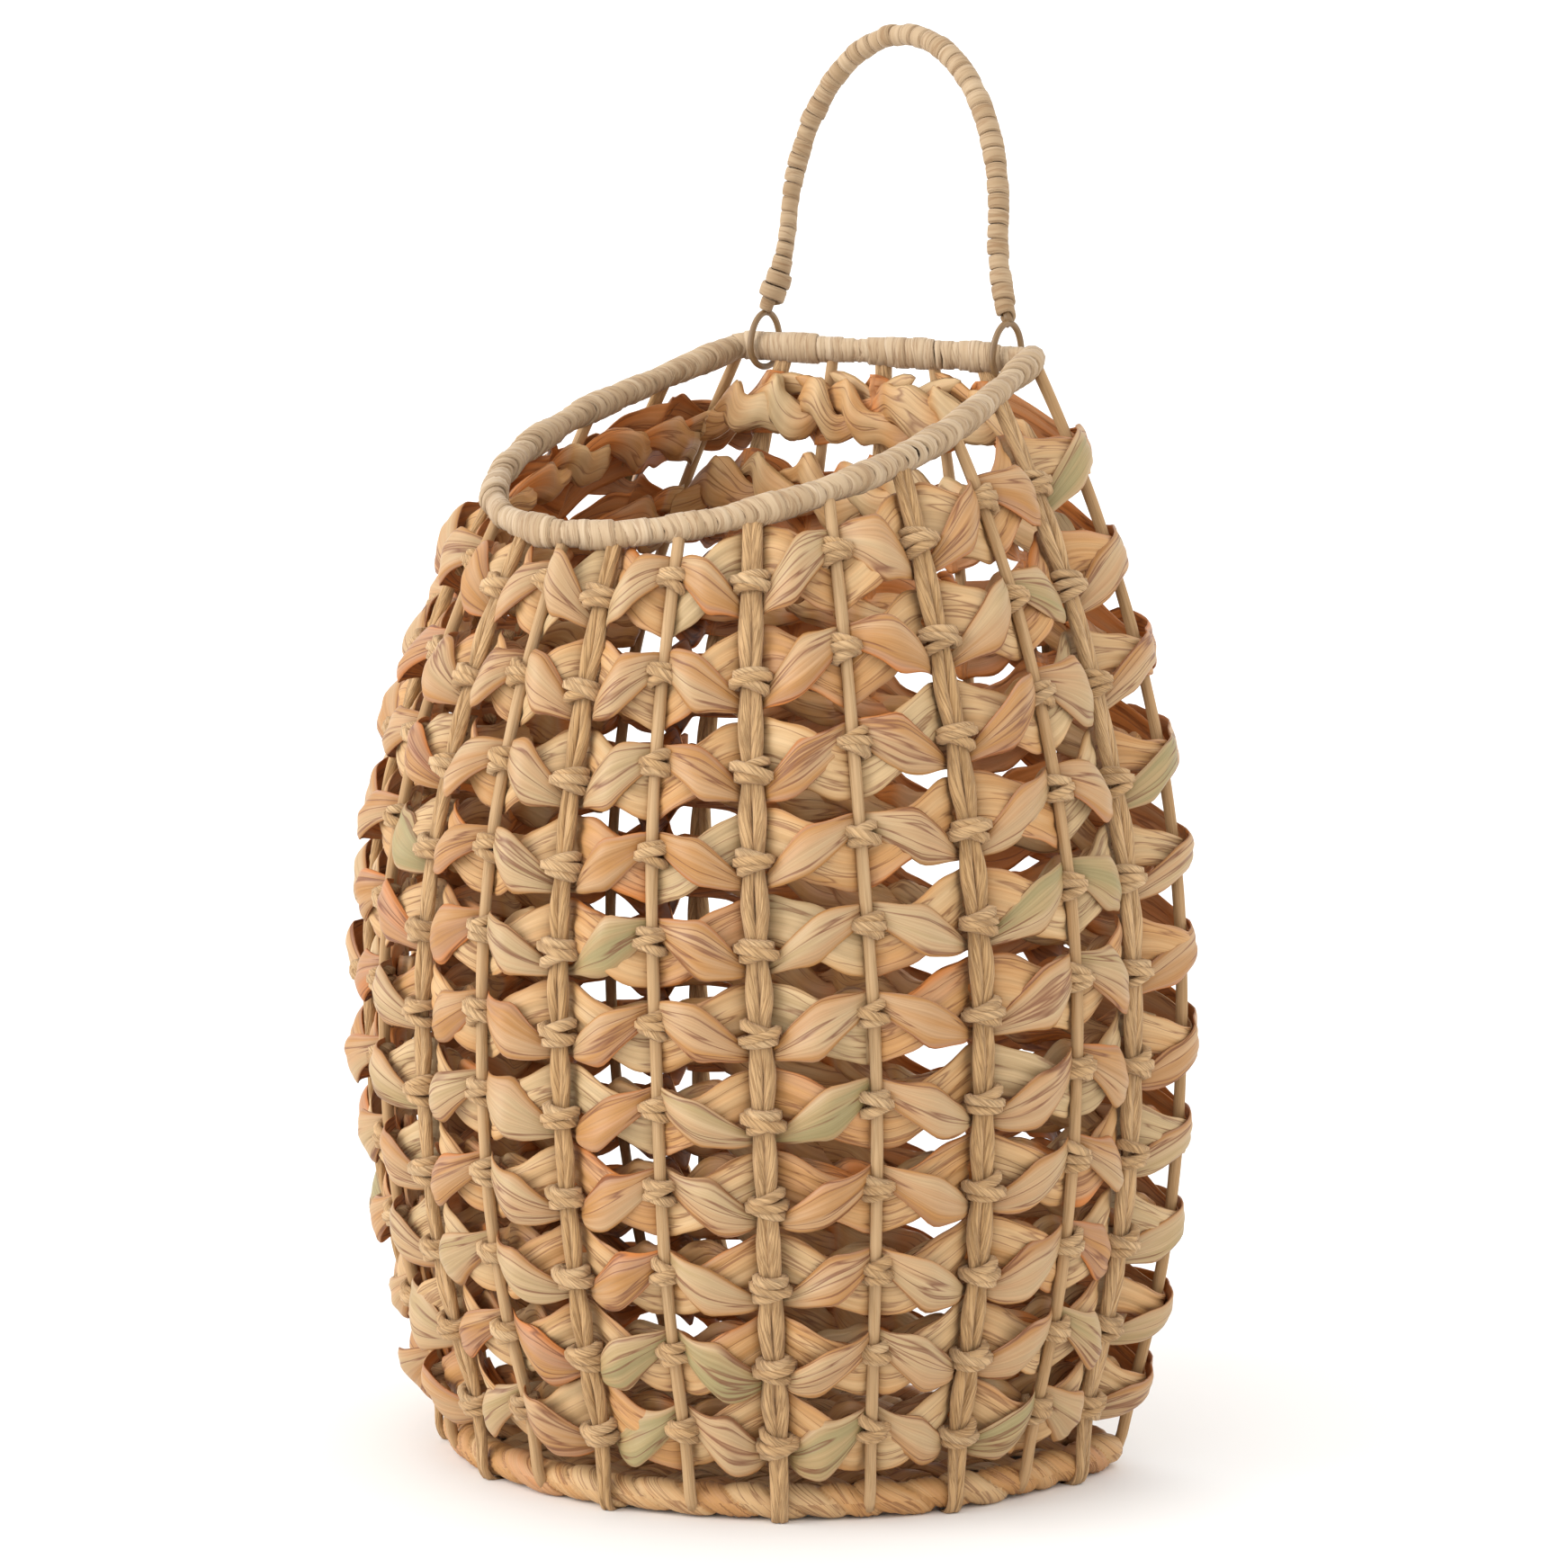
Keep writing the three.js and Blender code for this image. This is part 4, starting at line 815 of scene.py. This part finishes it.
# Handle: a wire arch that leans back over the bar, wound with flat twine, an eye of bare wire at each foot.
# Arch = legs that draw in by a power of the height, then half an ellipse. The winding is drawn in on the left
# leg and swollen at its feet: height, middle and spread of each hump, from the left foot or the right one.
handle = {"halfWidth": 50.5, "height": 110.6, "shoulder": 43, "lean": 5, "legCurve": 1.6,
          "eyeRise": 12, "eyeRadius": 7.4, "wire": 1.55, "eyeWire": 1.15, "pitch": 5.2, "reach": 2.85,
          "twine": 2.62, "depth": 0.9, "start": 2, "steps": 22, "sides": 10, "square": 0.6, "twineLean": -1.0,
          "footBulge": 1.3, "leftHumps": ((1, 10, 8), (-0.5, 38, 20)), "rightHump": (0.3, 0, 12),
          "closing": 1.4, "closingSpread": 3.5, "uneven": 0.28, "unevenPasses": 10,
          "widthSpread": 0.1, "widthShift": 60, "depthSpread": 0.1, "tint": 0.42, "tintSpread": 0.16,
          "tintShift": 90, "legSteps": 60, "bendSteps": 160, "archSteps": 400, "wireSteps": 120}
bar = np.array([0, wall["backPlane"], wall["backHeight"]], float)
lean = np.radians(handle["lean"])
leanUp = np.array([0, np.sin(lean), np.cos(lean)])
leanBack = np.array([0, leanUp[2], -leanUp[1]])
legShare = np.linspace(0, 1, handle["legSteps"])[:-1]
legHigh = handle["eyeRise"] + (handle["shoulder"] - handle["eyeRise"]) * legShare
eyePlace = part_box("handle_wire")[1][0] * perMetre - handle["eyeWire"]
legX = handle["halfWidth"] + (eyePlace - handle["halfWidth"]) * (1 - legShare) ** handle["legCurve"]
bend = np.linspace(0, np.pi, handle["bendSteps"])
bendHigh = handle["shoulder"] + (handle["height"] - handle["shoulder"]) * np.sin(bend)
archX = np.concatenate([legX, handle["halfWidth"] * np.cos(bend), -legX[::-1]])
archHigh = np.concatenate([legHigh, bendHigh, legHigh[::-1]])
arch = bar + archX[:, None] * rightward + archHigh[:, None] * leanUp
arch, archLength = evenPath(arch, handle["archSteps"], closed=False)
wireLine = evenPath(arch, handle["wireSteps"], closed=False)[0]
addWires("handleWire", wireLine[None], leanBack, handle["wire"], body="handle", closed=False)
bend = circle(handle["wireSteps"])
eyeHigh = np.where(np.sin(bend) > 0, handle["eyeRise"], handle["eyeRadius"]) * np.sin(bend)
eye = bar + (handle["eyeRadius"] * np.cos(bend))[:, None] * leanBack + eyeHigh[:, None] * leanUp
eyes = np.stack([eye + sign * eyePlace * rightward for sign in (-1, 1)])
addWires("handleEyes", eyes, rightward, handle["eyeWire"], ["handle_wire"], "handle")
turns = int(round((archLength - 2 * handle["start"]) / handle["pitch"]))
far = np.linspace(0, archLength, handle["archSteps"])
at = np.linspace(handle["start"], archLength - handle["start"], turns * handle["steps"])
centre = np.stack([np.interp(at, far, arch[:, k]) for k in range(3)], -1)
perTurn = byTurn(luck.uniform(-1, 1, turns), handle, handle["unevenPasses"])
fromLeft = archLength - at
swollen = hump(at, *handle["rightHump"]) + sum(hump(fromLeft, *each) for each in handle["leftHumps"])
closing = hump(np.minimum(at, fromLeft), handle["closing"], handle["start"], handle["closingSpread"])
swollen = handle["footBulge"] * swollen - closing
addWinding("handleTwine", "handle_winding", "handle", handle, centre, leanBack, perTurn, swollen, 1, False)
print("handle made:", turns, "turns")

# Studio: a pale floor, an even white surround and one broad soft light from the upper left
studio = {"floor": "#F6F5F3", "floorSize": 60.0, "floorRoughness": 0.9, "surround": 1.3,
          "keyStrength": 1.8, "keySpread": 45, "keyWay": (0.45, 0.8, -0.35)}
mesh = bpy.data.meshes.new("studioFloor")
half = studio["floorSize"] / 2
mesh.from_pydata([(-half, -half, 0), (half, -half, 0), (half, half, 0), (-half, half, 0)], [], [(0, 1, 2, 3)])
floorPaint = bpy.data.materials.new("mattPaintedFloor")
floorPaint.use_nodes = True
paint = floorPaint.node_tree.nodes["Principled BSDF"].inputs
paint["Base Color"].default_value = linear(studio["floor"])
paint["Roughness"].default_value = studio["floorRoughness"]
mesh.materials.append(floorPaint)
studioFloor = addObject("studioFloor", mesh)
studioFloor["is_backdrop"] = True
world = bpy.data.worlds.new("studioSurround")
bpy.context.scene.world = world
world.use_nodes = True
surround = world.node_tree.nodes["Background"].inputs
surround["Color"].default_value = white
surround["Strength"].default_value = studio["surround"]
lamp = bpy.data.lights.new("keyLight", "SUN")
lamp.energy, lamp.angle = studio["keyStrength"], np.radians(studio["keySpread"])
light = addObject("keyLight", lamp)
light.rotation_euler = Vector(studio["keyWay"]).to_track_quat("-Z", "Y").to_euler()

# Camera: from the front right and a little above, as in the photograph
view = {"place": (1.3668, -1.35054, 0.4834), "azimuth": 44.4858, "pitch": 7.3466, "lens": 129.95, "sensor": 36}
camera = bpy.data.cameras.new("camera")
camera.sensor_width, camera.lens = view["sensor"], view["lens"]
cameraObject = addObject("camera", camera)
turnRound, look = np.radians(view["azimuth"]), np.radians(view["pitch"])
ahead = Vector((-np.sin(turnRound) * np.cos(look), np.cos(turnRound) * np.cos(look), -np.sin(look)))
cameraObject.location = view["place"]
cameraObject.rotation_euler = ahead.to_track_quat("-Z", "Y").to_euler()
bpy.context.scene.camera = cameraObject
bpy.context.scene.view_settings.view_transform = "Standard"

bpy.context.view_layer.update()
low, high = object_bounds()
print("visual box", [round(v * perMetre, 1) for v in low], [round(v * perMetre, 1) for v in high])
